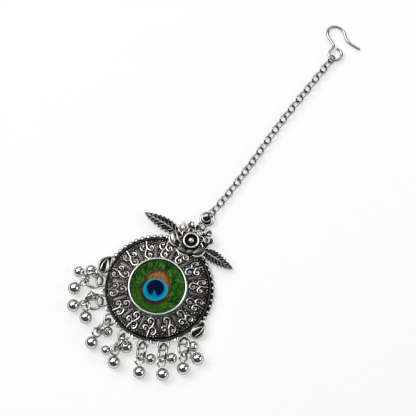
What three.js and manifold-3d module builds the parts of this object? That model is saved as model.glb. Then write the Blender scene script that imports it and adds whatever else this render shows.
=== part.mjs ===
// A maang tikka that lies on a flat surface: a round cast pendant with a glass stone, a flower crest with two
// leaves, a fringe of small ball drops on jump rings, a chain, and a wire hook for the hair.
// Lengths are in millimetres. +Z is up and +Y runs from the pendant along the chain to the hook.
// The pieces are placed round the pendant's centre, and the last lines move the whole to its own origin.

import * as THREE from 'three';
import { mergeVertices } from 'three/addons/utils/BufferGeometryUtils.js';
import Module from 'manifold-3d';

const wasm = await Module();
wasm.setup();

// Glass stone, the printed card under it and the bezel that holds both
const glassRadius = 9.55;
const glassGirdle = 1.3;
const glassHeight = 5.0;
const domeSteps = 4;
const cardThickness = 0.25;
const stoneGap = 0.15;
const bezelWall = 0.8;
const bezelHeight = 2.5;
const seatHeight = 4.5;

// Domed round plate with a hollow back and a groove near its edge
const plateRadius = 18.8;
const bandOuterHeight = 3.2;
const castingWall = 1.2;
const footWidth = 1.4;
const borderWidth = 0.55;
const borderHeight = 2.9;
const grooveWidth = 0.5;
const grooveDepth = 0.5;
const plateSides = 28;

// Raised ornament on the band: scrolls with flat bars between them
const motifCount = 14;
const scrollWidth = 0.5;
const scrollRelief = 0.4;
const barLength = 5.0;
const barWidth = 1.2;
const barRelief = 0.25;
const barGap = 0.7;
const rootDepth = 0.5;

// Bead row round the upper half of the edge
const beadRadius = 0.98;
const beadSink = 0.35;
const beadHeight = 1.2;
const beadPitchAngle = 6.6;
const beadFirstAngle = 13.2;
const beadsPerSide = 12;
const beadRings = 4;

// Cast loops round the lower half, with a small lobe between each two
const loopCount = 7;
const loopPitchAngle = 21;
const loopMeanRadius = 2.0;
const loopWire = 0.8;
const loopHeight = 2.2;
const loopOverlap = 0.65;
const lobeRadius = 0.95;
const lobeHeight = 1.6;

// Curled mango lugs at the sides
const lugAngle = 100;
const lugLength = 7.2;
const lugWidth = 5.0;
const lugHeight = 2.7;
const lugLift = 0.5;
const lugRim = 0.6;
const lugRecess = 1.1;
const lugSink = 0.4;
const lugTip = 1.0;
const lugSides = 14;
const lugTaper = 0.35;
const lugPetalTurn = -12;

// Flower crest
const crestX = -0.6;
const crestRise = 2.1;
const crestPlateWidth = 11.6;
const crestPlateRatio = 0.828;
const crestPlateShift = 0.086;
const crestPlateBottom = 0.8;
const crestPlateTop = 2.6;
const crestSides = 12;
const crestFootRadius = 3.6;
const crestFootHeight = 3.4;
const bossRadius = 2.6;
const bossWire = 0.65;
const bossHeight = 4.9;
const bossBall = 1.1;
const dishRadius = 1.9;
const dishHeight = 4.1;
const petalSides = 8;
const petalRings = 4;
const crescentWire = 0.6;
const crescentHeight = 4.0;

// Leaves of the crest
const leafLength = 15.6;
const leafWidth = 5.0;
const leafThickness = 1.1;
const leafLift = 0.9;
const leafArch = 1.3;
const leafTeeth = 5;
const toothDepth = 0.45;
const midribWire = 0.6;
const midribSteps = 3;
const midribShare = 0.9;
const leafFullness = 0.8;
const toothNotch = 0.45;
const toothPeak = 0.1;

// Top loop, and the neck that joins it to the crest
const topLoopX = -1.1;
const topLoopRise = 10.5;
const topLoopRadius = 2.4;
const topLoopWire = 0.85;
const topNeckWidth = 3.2;
const topNeckHeight = 1.9;

// Chain
const linkCount = 31;
const linkLength = 3.62;
const linkWidth = 3.4;
const linkWire = 0.7;
const linkRoll = 50;
const linkFuse = 0.09;

// Hook
const hookWire = 1.0;
const hookWidth = 13.7;
const hookLength = 9.7;
const eyeRadius = 2.3;
const hookSteps = 40;

// Jump rings, and the ball drops on them
const jumpRadius = 3.1;
const jumpWire = 1.0;
const dropSizes = {
  big: { ball: 2.25, eye: 1.6, wire: 0.75, neck: 0.25 },
  middle: { ball: 1.95, eye: 1.5, wire: 0.7, neck: 0.2 },
  small: { ball: 1.7, eye: 1.35, wire: 0.6, neck: 0.15 },
};
const pieceGap = 0.4;
const seatGap = 0.34;

// Sides of the round wires and balls
const ringSegments = 10;
const wireSides = 5;
const ballSides = 10;
const ballRings = 5;
const weldDistance = 1e-4;

// Sizes that follow from the ones above
const bezelInner = glassRadius + stoneGap;
const bezelOuter = bezelInner + bezelWall;
const bezelTop = seatHeight + bezelHeight;
const bandOuter = plateRadius - borderWidth - grooveWidth;
const loopCircle = plateRadius - loopOverlap + loopMeanRadius;
const lugReach = plateRadius - lugSink + lugWidth / 2;
const crestY = plateRadius + crestRise;
const topLoopY = crestY + topLoopRise;
const linkHeight = ((linkWidth - linkWire) / 2) * Math.sin(THREE.MathUtils.degToRad(linkRoll)) + linkWire / 2;
const wireInset = (linkWire / 2) * Math.cos(Math.PI / wireSides);
const linkPitch = linkLength - linkWire - 2 * wireInset + linkFuse;
const barClearance = (linkWire + topLoopWire) / 2 + pieceGap;
const firstLinkY = topLoopY + topLoopRadius - barClearance + (linkLength - linkWire) / 2;

// Scroll lines of one motif: distance out from the bezel to the groove as a share of the band's width,
// and distance to the side as a share of the same width. Each line is drawn with the given number of steps.
const scrollLines = [
  { steps: 5, points: [[1.0, -0.06], [0.8, -0.04], [0.64, 0.0], [0.49, -0.12], [0.44, -0.24], [0.56, -0.32],
    [0.68, -0.28], [0.66, -0.17]] },
  { steps: 3, points: [[0.64, 0.0], [0.64, 0.22], [0.78, 0.33], [0.9, 0.25], [0.86, 0.12], [0.76, 0.14]] },
  { steps: 5, points: [[0.6, 0.03], [0.44, 0.15], [0.25, 0.17], [0.12, 0.06], [0.12, -0.1], [0.2, -0.2],
    [0.3, -0.14], [0.28, -0.04]] },
];

// Petals and beads of the crest: place from the boss, size, and height of the middle as shares of the crest
// plate's width, and the turn in plan
const petals = [
  { x: -0.483, y: -0.198, length: 0.483, width: 0.224, thick: 0.19, turn: -25, z: 0.293 },
  { x: -0.431, y: 0.224, length: 0.379, width: 0.224, thick: 0.207, turn: 35, z: 0.259 },
  { x: -0.345, y: 0.474, length: 0.241, width: 0.164, thick: 0.172, turn: 80, z: 0.233 },
  { x: -0.034, y: 0.405, length: 0.31, width: 0.19, thick: 0.19, turn: 85, z: 0.276 },
  { x: 0.293, y: 0.345, length: 0.276, width: 0.19, thick: 0.19, turn: 50, z: 0.276 },
  { x: 0.19, y: 0.517, length: 0.224, width: 0.172, thick: 0.207, turn: 60, z: 0.216 },
  { x: 0.422, y: 0.121, length: 0.397, width: 0.19, thick: 0.172, turn: 110, z: 0.276 },
  { x: -0.224, y: -0.371, length: 0.414, width: 0.224, thick: 0.138, turn: -35, z: 0.293 },
  { x: 0.224, y: -0.336, length: 0.414, width: 0.224, thick: 0.138, turn: 35, z: 0.293 },
];

// Thin bright crescents along the lower petals: distance from the boss as a share of the crest plate's width,
// and the angles they run between
const crescents = [
  { radius: 0.509, from: -128, to: -95 },
  { radius: 0.457, from: -78, to: -38 },
];

// Leaves: which side, where the root is as a share of the crest plate's width, length as a share of the
// longer leaf's, and how far the tip bends towards the pendant as a share of the leaf's width
const leaves = [
  { side: -1, root: 0.397, length: 1, bend: 0.2 },
  { side: 1, root: 0.362, length: 0.859, bend: -0.12 },
];

// Drift of the chain to the side along its run, from the pendant to the hook, as a share of a link's length
const chainRoute = [
  { share: 0, drift: -0.304 },
  { share: 0.1, drift: -0.166 },
  { share: 0.3, drift: -0.138 },
  { share: 0.55, drift: -0.249 },
  { share: 0.8, drift: -0.138 },
  { share: 1, drift: 0 },
];

// Route of the hook after its eye, from the eye's centre, as shares of the hook's width and length
const hookRoute = [
  { x: -0.153, y: 0.15 }, { x: -0.19, y: 0.27 }, { x: -0.285, y: 0.335 }, { x: -0.39, y: 0.4 },
  { x: -0.5, y: 0.5 }, { x: -0.566, y: 0.69 }, { x: -0.52, y: 0.885 }, { x: -0.36, y: 1.0 },
  { x: -0.175, y: 0.95 }, { x: -0.06, y: 0.81 }, { x: 0.07, y: 0.725 }, { x: 0.25, y: 0.71 },
  { x: 0.434, y: 0.727 },
];

// Jump rings, from the left cast loop round to the right one: heading in plan, lean from the flat, and how
// far the ring's centre is from the cast loop's as a share of the ring's radius
const jumpRings = [
  { heading: 216, lean: -48, reach: 0.935 },
  { heading: 226, lean: -48, reach: 0.935 },
  { heading: 266, lean: 62, reach: 1.032 },
  { heading: 280, lean: 70, reach: 1.065 },
  { heading: 300, lean: 62, reach: 1 },
  { heading: 302, lean: 62, reach: 1.032 },
  { heading: 309, lean: 55, reach: 1 },
];

// Ball drops: jump ring, seat on it from its far point, heading in plan, size
const drops = [
  { ring: 1, seat: -26, heading: 172, size: 'middle' },
  { ring: 1, seat: 12, heading: 248, size: 'big' },
  { ring: 1, seat: -102, heading: 168, size: 'middle' },
  { ring: 2, seat: -10, heading: 230, size: 'big' },
  { ring: 2, seat: 16, heading: 306, size: 'big' },
  { ring: 2, seat: -84, heading: 168, size: 'small' },
  { ring: 3, seat: -22, heading: 280, size: 'big' },
  { ring: 3, seat: 70, heading: 24, size: 'middle' },
  { ring: 4, seat: -10, heading: 300, size: 'big' },
  { ring: 4, seat: 100, heading: 342, size: 'big' },
  { ring: 4, seat: -42, heading: 232, size: 'small' },
  { ring: 5, seat: -15, heading: 305, size: 'big' },
  { ring: 5, seat: 42, heading: 32, size: 'middle' },
  { ring: 6, seat: -8, heading: 311, size: 'big' },
  { ring: 6, seat: 40, heading: 55, size: 'middle' },
  { ring: 7, seat: -12, heading: 305, size: 'big' },
  { ring: 7, seat: 26, heading: 18, size: 'big' },
  { ring: 7, seat: 80, heading: 65, size: 'middle' },
];

const silver = { color: 0xb9b4ab, roughness: 0.28, metalness: 1.0 };
const darkSilver = { color: 0x8d8982, roughness: 0.42, metalness: 1.0 };

const tikka = new THREE.Group();

const radians = THREE.MathUtils.degToRad;

function vector(x, y, z) {
  return new THREE.Vector3(x, y, z);
}

function planDirection(degrees) {
  return vector(Math.cos(radians(degrees)), Math.sin(radians(degrees)), 0);
}

// Six times the volume of a closed mesh, below zero where its faces point in
function signedVolume(spots, corners) {
  const a = new THREE.Vector3();
  const b = new THREE.Vector3();
  const c = new THREE.Vector3();
  let total = 0;
  for (let i = 0; i < corners.length; i += 3) {
    a.fromArray(spots, corners[i] * 3);
    b.fromArray(spots, corners[i + 1] * 3);
    c.fromArray(spots, corners[i + 2] * 3);
    total += a.dot(b.cross(c));
  }
  return total;
}

function toSolid(geometry) {
  const bare = new THREE.BufferGeometry();
  bare.setAttribute('position', geometry.getAttribute('position'));
  bare.setIndex(geometry.getIndex());
  const welded = mergeVertices(bare, weldDistance);
  const spots = welded.getAttribute('position').array;
  const index = welded.getIndex().array;
  const corners = [];
  for (let i = 0; i < index.length; i += 3) {
    const flat = index[i] === index[i + 1] || index[i + 1] === index[i + 2] || index[i + 2] === index[i];
    if (!flat) corners.push(index[i], index[i + 1], index[i + 2]);
  }
  if (signedVolume(spots, corners) < 0) corners.reverse();
  const vertProperties = new Float32Array(spots);
  const triVerts = new Uint32Array(corners);
  return new wasm.Manifold(new wasm.Mesh({ numProp: 3, vertProperties, triVerts }));
}

function fuse(geometries) {
  return geometries.map(toSolid).reduce((whole, piece) => whole.add(piece));
}

function toGeometry(solid) {
  const mesh = solid.getMesh();
  const geometry = new THREE.BufferGeometry();
  geometry.setAttribute('position', new THREE.BufferAttribute(mesh.vertProperties, 3));
  geometry.setIndex(new THREE.BufferAttribute(mesh.triVerts, 1));
  geometry.computeVertexNormals();
  return geometry;
}

function addPiece(name, solid, finish) {
  const mesh = new THREE.Mesh(toGeometry(solid), new THREE.MeshStandardMaterial(finish));
  mesh.name = name;
  tikka.add(mesh);
}

// A body turned about the Z axis from a profile of radius and height pairs
function turned(profile, sides) {
  const points = profile.map(([radius, height]) => new THREE.Vector2(radius, height));
  return new THREE.LatheGeometry(points, sides).rotateX(Math.PI / 2);
}

// A round wire along a curve
function wireAlong(curve, wire, sides, steps) {
  const section = new THREE.Shape();
  for (let i = 0; i < sides; i += 1) {
    const angle = (2 * Math.PI * i) / sides;
    const corner = [(wire / 2) * Math.cos(angle), (wire / 2) * Math.sin(angle)];
    if (i === 0) section.moveTo(...corner);
    else section.lineTo(...corner);
  }
  section.closePath();
  return new THREE.ExtrudeGeometry(section, { steps, extrudePath: curve, bevelEnabled: false });
}

function wireRing(meanRadius, wire) {
  return new THREE.TorusGeometry(meanRadius, wire / 2, wireSides, ringSegments);
}

// Moves a geometry so that its own axes lie along the three given directions, from the given place
function placed(geometry, xAxis, yAxis, zAxis, origin) {
  const place = new THREE.Matrix4().makeBasis(xAxis, yAxis, zAxis).setPosition(origin);
  return geometry.applyMatrix4(place);
}

function slab(points, bottom, top) {
  const shape = new THREE.Shape(points.map(([x, y]) => new THREE.Vector2(x, y)));
  const geometry = new THREE.ExtrudeGeometry(shape, { depth: top - bottom, bevelEnabled: false });
  return geometry.translate(0, 0, bottom);
}

// Height of the band's sloping face at a distance from the pendant's axis
function bandHeight(radius) {
  const share = (radius - bezelOuter) / (bandOuter - bezelOuter);
  return THREE.MathUtils.lerp(seatHeight, bandOuterHeight, share);
}

// Lays a flat ornament on the band's slope, which its heights are then measured from
function laidOnBand(geometry) {
  const spots = geometry.getAttribute('position');
  for (let i = 0; i < spots.count; i += 1) {
    const radius = Math.hypot(spots.getX(i), spots.getY(i));
    spots.setZ(i, spots.getZ(i) + bandHeight(radius));
  }
  return geometry;
}

// Each scroll stands in the middle of two of the plate's flats
function plate() {
  return turned([
    [0, seatHeight],
    [bezelInner, seatHeight],
    [bezelInner, bezelTop],
    [bezelOuter, bezelTop],
    [bezelOuter, seatHeight],
    [bandOuter, bandOuterHeight],
    [bandOuter + grooveWidth / 2, bandOuterHeight - grooveDepth],
    [plateRadius - borderWidth, borderHeight],
    [plateRadius, borderHeight],
    [plateRadius, 0],
    [plateRadius - footWidth, 0],
    [plateRadius - footWidth, bandOuterHeight - castingWall],
    [bezelOuter, seatHeight - castingWall],
    [0, seatHeight - castingWall],
  ], plateSides);
}

// A flat rib along one scroll line, as an outline with a constant width
function scrollRib({ steps, points }) {
  const reach = bandOuter - bezelOuter;
  const line = new THREE.CatmullRomCurve3(
    points.map(([out, side]) => vector(bezelOuter + out * reach, side * reach, 0)));
  const near = [];
  const far = [];
  for (let i = 0; i <= steps; i += 1) {
    const middle = line.getPointAt(i / steps);
    const along = line.getTangentAt(i / steps);
    const offset = vector(-along.y, along.x, 0).multiplyScalar(scrollWidth / 2);
    near.push([middle.x + offset.x, middle.y + offset.y]);
    far.unshift([middle.x - offset.x, middle.y - offset.y]);
  }
  return laidOnBand(slab([...near, ...far], -rootDepth, scrollRelief));
}

function bandBar() {
  const start = bezelOuter + barGap;
  const half = barWidth / 2;
  const corners = [[start, -half], [start + barLength, -half], [start + barLength, half], [start, half]];
  return laidOnBand(slab(corners, -rootDepth, barRelief));
}

function bandOrnament() {
  const pieces = [];
  const pitch = 360 / motifCount;
  for (let k = 0; k < motifCount; k += 1) {
    const angle = radians(90 + k * pitch);
    for (const line of scrollLines) pieces.push(scrollRib(line).rotateZ(angle));
    pieces.push(bandBar().rotateZ(angle + radians(pitch / 2)));
  }
  return pieces;
}

function beadRow() {
  const pieces = [];
  const circle = plateRadius + beadRadius - beadSink;
  for (const side of [-1, 1]) {
    for (let k = 0; k < beadsPerSide; k += 1) {
      const spot = planDirection(90 + side * (beadFirstAngle + k * beadPitchAngle)).multiplyScalar(circle);
      const bead = new THREE.SphereGeometry(beadRadius, petalSides, beadRings).rotateX(Math.PI / 2);
      pieces.push(bead.translate(spot.x, spot.y, beadHeight));
    }
  }
  return pieces;
}

function loopAngle(k) {
  return 270 + (k - (loopCount - 1) / 2) * loopPitchAngle;
}

function castLoops() {
  const pieces = [];
  for (let k = 0; k < loopCount; k += 1) {
    const spot = planDirection(loopAngle(k)).multiplyScalar(loopCircle);
    pieces.push(wireRing(loopMeanRadius, loopWire).translate(spot.x, spot.y, loopHeight));
  }
  for (let k = 0; k < loopCount - 1; k += 1) {
    const spot = planDirection(loopAngle(k + 0.5)).multiplyScalar(plateRadius);
    const lobe = new THREE.CylinderGeometry(lobeRadius, lobeRadius, lobeHeight, petalSides);
    pieces.push(lobe.rotateX(Math.PI / 2).translate(spot.x, spot.y, borderHeight - lobeHeight));
  }
  return pieces;
}

// A mango outline: round at its lower end, drawn out to a tip that leans to one side
function mangoOutline(inset) {
  const corners = [];
  for (let i = 0; i < lugSides; i += 1) {
    const angle = (2 * Math.PI * i) / lugSides;
    const up = Math.max(0, Math.sin(angle));
    const x = (lugWidth / 2 - inset) * Math.cos(angle) * (1 - lugTaper * up) + lugTip * up ** 3;
    const y = (lugLength / 2 - inset) * Math.sin(angle);
    corners.push([x, y]);
  }
  return corners;
}

function sideLug(side) {
  const body = toSolid(slab(mangoOutline(0), lugLift, lugHeight));
  const recess = toSolid(slab(mangoOutline(lugRim), lugHeight - lugRecess, lugHeight + 1));
  const petal = new THREE.SphereGeometry(1, petalSides, petalRings);
  petal.scale(lugWidth / 7, lugLength / 4, lugRecess);
  petal.rotateZ(radians(lugPetalTurn)).translate(-lugRim / 2, 0, lugHeight - lugRecess);
  const curl = new THREE.SphereGeometry(lugRim, petalSides, petalRings);
  curl.translate(lugTip, lugLength / 2, lugHeight - lugRim);
  const whole = body.subtract(recess).add(toSolid(petal)).add(toSolid(curl));
  const geometry = toGeometry(whole);
  if (side > 0) geometry.scale(-1, 1, 1);
  const angle = 90 - side * lugAngle;
  const spot = planDirection(angle).multiplyScalar(lugReach);
  return geometry.rotateZ(radians(side > 0 ? angle : angle - 180)).translate(spot.x, spot.y, 0);
}

function crestBase() {
  const foot = new THREE.CylinderGeometry(crestFootRadius, crestFootRadius, crestFootHeight, crestSides);
  const dish = turned([
    [0, crestFootHeight - rootDepth],
    [bossRadius + bossWire / 2, crestFootHeight - rootDepth],
    [bossRadius, bossHeight],
    [bossRadius - bossWire / 2, bossHeight],
    [dishRadius, dishHeight],
    [0, dishHeight],
  ], crestSides);
  const backing = new THREE.CylinderGeometry(0.5, 0.5, crestPlateTop - crestPlateBottom, crestSides);
  backing.rotateX(Math.PI / 2).scale(crestPlateWidth, crestPlateWidth * crestPlateRatio, 1);
  return [
    backing.translate(0, crestPlateWidth * crestPlateShift, (crestPlateTop + crestPlateBottom) / 2),
    foot.rotateX(Math.PI / 2).translate(0, 0, crestFootHeight / 2),
    dish,
    new THREE.TorusGeometry(bossRadius, bossWire / 2, wireSides, crestSides).translate(0, 0, bossHeight),
    new THREE.SphereGeometry(bossBall, petalSides, petalRings).translate(0, 0, bossHeight - bossWire / 2),
  ].map((piece) => piece.translate(crestX, crestY, 0));
}

function crestPetals() {
  return petals.map(({ x, y, length, width, thick, turn, z }) => {
    const petal = new THREE.SphereGeometry(crestPlateWidth / 2, petalSides, petalRings);
    petal.rotateX(Math.PI / 2).scale(length, width, thick).rotateZ(radians(turn));
    return petal.translate(crestX + x * crestPlateWidth, crestY + y * crestPlateWidth, z * crestPlateWidth);
  });
}

function crestCrescents() {
  return crescents.map(({ radius, from, to }) => {
    const points = [from, (from + to) / 2, to].map((angle) => {
      const spot = planDirection(angle).multiplyScalar(radius * crestPlateWidth);
      return vector(crestX + spot.x, crestY + spot.y, crescentHeight);
    });
    return wireAlong(new THREE.CatmullRomCurve3(points), crescentWire, wireSides, 4);
  });
}

// Half width of a leaf at a share of its length
function leafHalfWidth(share) {
  return (leafWidth / 2) * Math.sin(Math.PI * share ** leafFullness) ** leafFullness;
}

function leafEdge(length, side) {
  const corners = [];
  for (let k = 1; k <= leafTeeth; k += 1) {
    const notch = (k - toothNotch) / (leafTeeth + 1);
    const peak = (k + toothPeak) / (leafTeeth + 1);
    corners.push([notch * length, side * (leafHalfWidth(notch) - toothDepth)]);
    corners.push([peak * length, side * leafHalfWidth(peak)]);
  }
  return corners;
}

// Bends a flat leaf: up in its middle, and to the side towards its tip
function bentLeaf(geometry, length, bend) {
  const spots = geometry.getAttribute('position');
  for (let i = 0; i < spots.count; i += 1) {
    const share = spots.getX(i) / length;
    spots.setY(i, spots.getY(i) - bend * leafWidth * share * share);
    spots.setZ(i, spots.getZ(i) + leafArch * Math.sin(Math.PI * Math.min(share, 1)));
  }
  return geometry;
}

function crestLeaves() {
  const pieces = [];
  for (const { side, root, length: lengthShare, bend } of leaves) {
    const length = lengthShare * leafLength;
    const outline = [[0, 0], ...leafEdge(length, -1), [length, 0], ...leafEdge(length, 1).reverse()];
    const blade = slab(outline, leafLift, leafLift + leafThickness);
    const ribLine = new THREE.LineCurve3(
      vector(0, 0, leafLift + leafThickness), vector(length * midribShare, 0, leafLift + leafThickness));
    const rib = wireAlong(ribLine, midribWire, wireSides, midribSteps);
    for (const geometry of [blade, rib]) {
      bentLeaf(geometry, length, bend);
      if (side < 0) geometry.scale(-1, 1, 1);
      pieces.push(geometry.translate(crestX + side * root * crestPlateWidth, crestY, 0));
    }
  }
  return pieces;
}

function topLoop() {
  const neckEnd = topLoopY - topLoopRadius;
  const left = topLoopX - topNeckWidth / 2;
  const right = topLoopX + topNeckWidth / 2;
  const corners = [[left, crestY], [right, crestY], [right, neckEnd], [left, neckEnd]];
  return [
    wireRing(topLoopRadius, topLoopWire).rotateZ(Math.PI / 2).translate(topLoopX, topLoopY, linkHeight),
    slab(corners, linkHeight - topLoopWire / 2, topNeckHeight),
  ];
}

function addPendant() {
  const solid = fuse([
    plate(), ...bandOrnament(), ...beadRow(), ...castLoops(), sideLug(-1), sideLug(1),
    ...crestBase(), ...crestPetals(), ...crestCrescents(), ...crestLeaves(), ...topLoop(),
  ]);
  addPiece('pendant', solid, darkSilver);
}

function addStone() {
  const cardBottom = seatHeight + stoneGap;
  const glassBottom = cardBottom + cardThickness + stoneGap;
  const card = turned([
    [0, cardBottom], [glassRadius, cardBottom],
    [glassRadius, cardBottom + cardThickness], [0, cardBottom + cardThickness],
  ], plateSides);
  addPiece('feather_card', toSolid(card), { color: 0x2e6b26, roughness: 0.6, metalness: 0.0 });
  const profile = [[0, glassBottom], [glassRadius, glassBottom]];
  for (let i = 0; i < domeSteps; i += 1) {
    const angle = (Math.PI / 2) * (i / domeSteps);
    const height = glassGirdle + (glassHeight - glassGirdle) * Math.sin(angle);
    profile.push([glassRadius * Math.cos(angle), glassBottom + height]);
  }
  profile.push([0, glassBottom + glassHeight]);
  addPiece('cabochon', toSolid(turned(profile, plateSides)), {
    color: 0xdfeee6, roughness: 0.05, metalness: 0.0, transparent: true, opacity: 0.4,
  });
}

// One oval link along X: a ring whose two halves are pulled apart, with its straight sides at the true width
function link() {
  const geometry = wireRing((linkWidth - linkWire) / 2, linkWire);
  const stretch = (linkLength - linkWidth) / 2;
  geometry.scale(1, 1 / Math.cos(Math.PI / ringSegments), 1);
  const spots = geometry.getAttribute('position');
  for (let i = 0; i < spots.count; i += 1) {
    spots.setX(i, spots.getX(i) + Math.sign(spots.getX(i)) * stretch);
  }
  return geometry;
}

// Centres of the first link, the last link and those between
function chainLine() {
  const run = (linkCount - 1) * linkPitch;
  return new THREE.CatmullRomCurve3(
    chainRoute.map(({ share, drift }) => vector(drift * linkLength, firstLinkY + share * run, linkHeight)));
}

function addChain() {
  const line = chainLine();
  const links = [];
  for (let k = 0; k < linkCount; k += 1) {
    const share = k / (linkCount - 1);
    const along = line.getTangentAt(share);
    const flat = vector(along.y, -along.x, 0);
    const roll = radians(k % 2 === 0 ? linkRoll : linkRoll - 90);
    const side = flat.applyAxisAngle(along, roll);
    const normal = along.clone().cross(side);
    links.push(placed(link(), along, side, normal, line.getPointAt(share)));
  }
  addPiece('chain', fuse(links), silver);
}

function addHook() {
  const lastLink = chainLine().getPoint(1);
  const farWireY = lastLink.y + (linkLength - linkWire) / 2;
  const eyeY = farWireY - (linkWire + hookWire) / 2 - pieceGap + eyeRadius;
  const slope = (linkHeight - hookWire / 2) / hookLength;
  const points = [];
  for (let angle = 110; angle >= -190; angle -= 25) {
    points.push([eyeRadius * Math.cos(radians(angle)), eyeRadius * Math.sin(radians(angle))]);
  }
  for (const { x, y } of hookRoute) points.push([x * hookWidth, y * hookLength]);
  const curve = new THREE.CatmullRomCurve3(
    points.map(([x, y]) => vector(lastLink.x + x, eyeY + y, linkHeight - slope * Math.max(y, 0))));
  addPiece('hook', toSolid(wireAlong(curve, hookWire, wireSides, hookSteps)), silver);
}

// Centre of a jump ring and the two directions that its plane holds: the heading, and the side that leans
function jumpFrame(number) {
  const { heading, lean, reach } = jumpRings[number - 1];
  const ahead = planDirection(heading);
  const across = planDirection(heading + 90).multiplyScalar(Math.cos(radians(lean)));
  across.z = Math.sin(radians(lean));
  const centre = planDirection(loopAngle(number - 1)).multiplyScalar(loopCircle);
  centre.addScaledVector(ahead, reach * jumpRadius);
  centre.z = jumpWire / 2 + jumpRadius * Math.abs(across.z);
  return { ahead, across, centre };
}

function addJumpRings() {
  for (let number = 1; number <= loopCount; number += 1) {
    const { ahead, across, centre } = jumpFrame(number);
    const ring = wireRing(jumpRadius, jumpWire);
    placed(ring, ahead, across, ahead.clone().cross(across), centre);
    addPiece(`jump_ring_${number}`, toSolid(ring), silver);
  }
}

// One drop with its ball's centre at the origin and its eyelet up the Z axis, in the YZ plane
function dropSolid({ ball, eye, wire, neck }) {
  const body = new THREE.SphereGeometry(ball, ballSides, ballRings).rotateX(Math.PI / 2);
  const eyelet = wireRing(eye, wire).rotateY(Math.PI / 2).translate(0, 0, ball + neck + eye);
  return [body, eyelet];
}

function addDrops() {
  drops.forEach(({ ring, seat, heading, size }, index) => {
    const sizes = dropSizes[size];
    const { ahead, across, centre } = jumpFrame(ring);
    const out = ahead.clone().multiplyScalar(Math.cos(radians(seat)));
    out.addScaledVector(across, Math.sin(radians(seat)));
    const tangent = ahead.clone().multiplyScalar(-Math.sin(radians(seat)));
    tangent.addScaledVector(across, Math.cos(radians(seat)));
    const seatPoint = centre.clone().addScaledVector(out, jumpRadius);
    const slack = sizes.eye - (sizes.wire + jumpWire) / 2 - seatGap;
    const reach = slack + sizes.eye + sizes.neck + sizes.ball;
    const fall = THREE.MathUtils.clamp((seatPoint.z - sizes.ball) / reach, -1, 1);
    const away = planDirection(heading).multiplyScalar(Math.sqrt(1 - fall * fall));
    away.z = -fall;
    const place = seatPoint.clone().addScaledVector(away, reach);
    const eyeNormal = tangent.addScaledVector(away, -tangent.dot(away)).normalize();
    const up = away.clone().negate();
    const side = up.clone().cross(eyeNormal);
    const pieces = dropSolid(sizes).map((piece) => placed(piece, eyeNormal, side, up, place));
    addPiece(`drop_${ring}_${index + 1}`, fuse(pieces), silver);
  });
}

addPendant();
addStone();
addChain();
addHook();
addJumpRings();
addDrops();

// The origin is under the middle of the whole, on the surface that it lies on
const box = new THREE.Box3().setFromObject(tikka);
const middle = box.getCenter(new THREE.Vector3());
tikka.position.set(-middle.x, -middle.y, -box.min.z);
tikka.updateMatrixWorld(true);

export default tikka;
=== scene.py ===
"""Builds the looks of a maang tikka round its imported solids: silver castings, wires and a feather glass."""

from math import copysign, cos, pi, radians, sin, sqrt

import bmesh
import bpy
from bpy.props import FloatProperty, FloatVectorProperty, IntProperty, PointerProperty
from mathutils import Matrix, Vector


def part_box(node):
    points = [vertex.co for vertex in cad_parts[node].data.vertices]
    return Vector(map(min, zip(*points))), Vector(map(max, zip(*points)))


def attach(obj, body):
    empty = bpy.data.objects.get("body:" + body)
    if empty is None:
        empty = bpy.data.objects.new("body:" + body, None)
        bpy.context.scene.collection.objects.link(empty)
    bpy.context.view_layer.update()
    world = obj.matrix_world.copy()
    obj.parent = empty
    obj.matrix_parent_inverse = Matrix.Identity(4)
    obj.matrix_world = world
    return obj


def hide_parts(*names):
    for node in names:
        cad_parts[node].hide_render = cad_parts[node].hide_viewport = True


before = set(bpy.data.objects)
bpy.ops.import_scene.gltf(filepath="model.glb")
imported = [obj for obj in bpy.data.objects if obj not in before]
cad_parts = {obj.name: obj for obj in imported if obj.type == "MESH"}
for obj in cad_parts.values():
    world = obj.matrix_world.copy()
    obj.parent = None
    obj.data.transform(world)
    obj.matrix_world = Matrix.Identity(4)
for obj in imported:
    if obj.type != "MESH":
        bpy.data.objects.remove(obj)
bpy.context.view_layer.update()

bl_info = {
    "name": "Maang tikka",
    "version": (1, 0, 0),
    "blender": (4, 5, 0),
    "location": "3D View > Sidebar > Tikka",
    "description": "Makes the pieces, finishes and studio of a maang tikka",
    "category": "Object",
}

MM = 0.001
BODY = "root"

# Lengths in millimetres, measured from the stone's axis and from the floor, as the solids have them
GLASS_RADIUS = 9.55
GLASS_GIRDLE = 1.3
GLASS_HEIGHT = 5.0
CARD_BOTTOM = 4.65
CARD_TOP = 4.9
GLASS_BOTTOM = 5.05
BEZEL_INNER = 9.7
BEZEL_OUTER = 10.5
BEZEL_TOP = 7.0
SEAT_HEIGHT = 4.5
PLATE_RADIUS = 18.8
BAND_OUTER = 17.75
BAND_OUTER_HEIGHT = 3.2
BORDER_INNER = 18.25
BORDER_HEIGHT = 2.9
FOOT_INNER = 17.4
HOLLOW_DEPTH = 1.2
MOTIFS = 14
BEAD_RADIUS = 0.98
BEAD_CIRCLE = 19.43
BEAD_HEIGHT = 1.2
BEAD_FIRST = 13.2
BEAD_PITCH = 6.6
BEADS_PER_SIDE = 12
LOOPS = 7
LOOP_PITCH = 21.0
LOOP_CIRCLE = 20.15
LOOP_RADIUS = 2.0
LOOP_WIRE = 0.8
LOOP_HEIGHT = 2.2
LUG_ANGLE = 100.0
LUG_REACH = 20.9
LUG_LENGTH = 7.2
LUG_WIDTH = 5.0
LUG_TIP = 1.0
LUG_TAPER = 0.35
LUG_BOTTOM = 0.5
LUG_TOP = 2.7
CREST_X = -0.6
CREST_Y = 20.9
CREST_FOOT = 3.6
BOSS_RADIUS = 2.6
BOSS_WIRE = 0.65
BOSS_HEIGHT = 4.9
BOSS_BALL = 1.1
LEAF_WIDTH = 5.0
LEAF_LIFT = 0.9
LEAF_THICKNESS = 1.1
LEAF_ARCH = 1.3
LEAF_FULLNESS = 0.8
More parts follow.
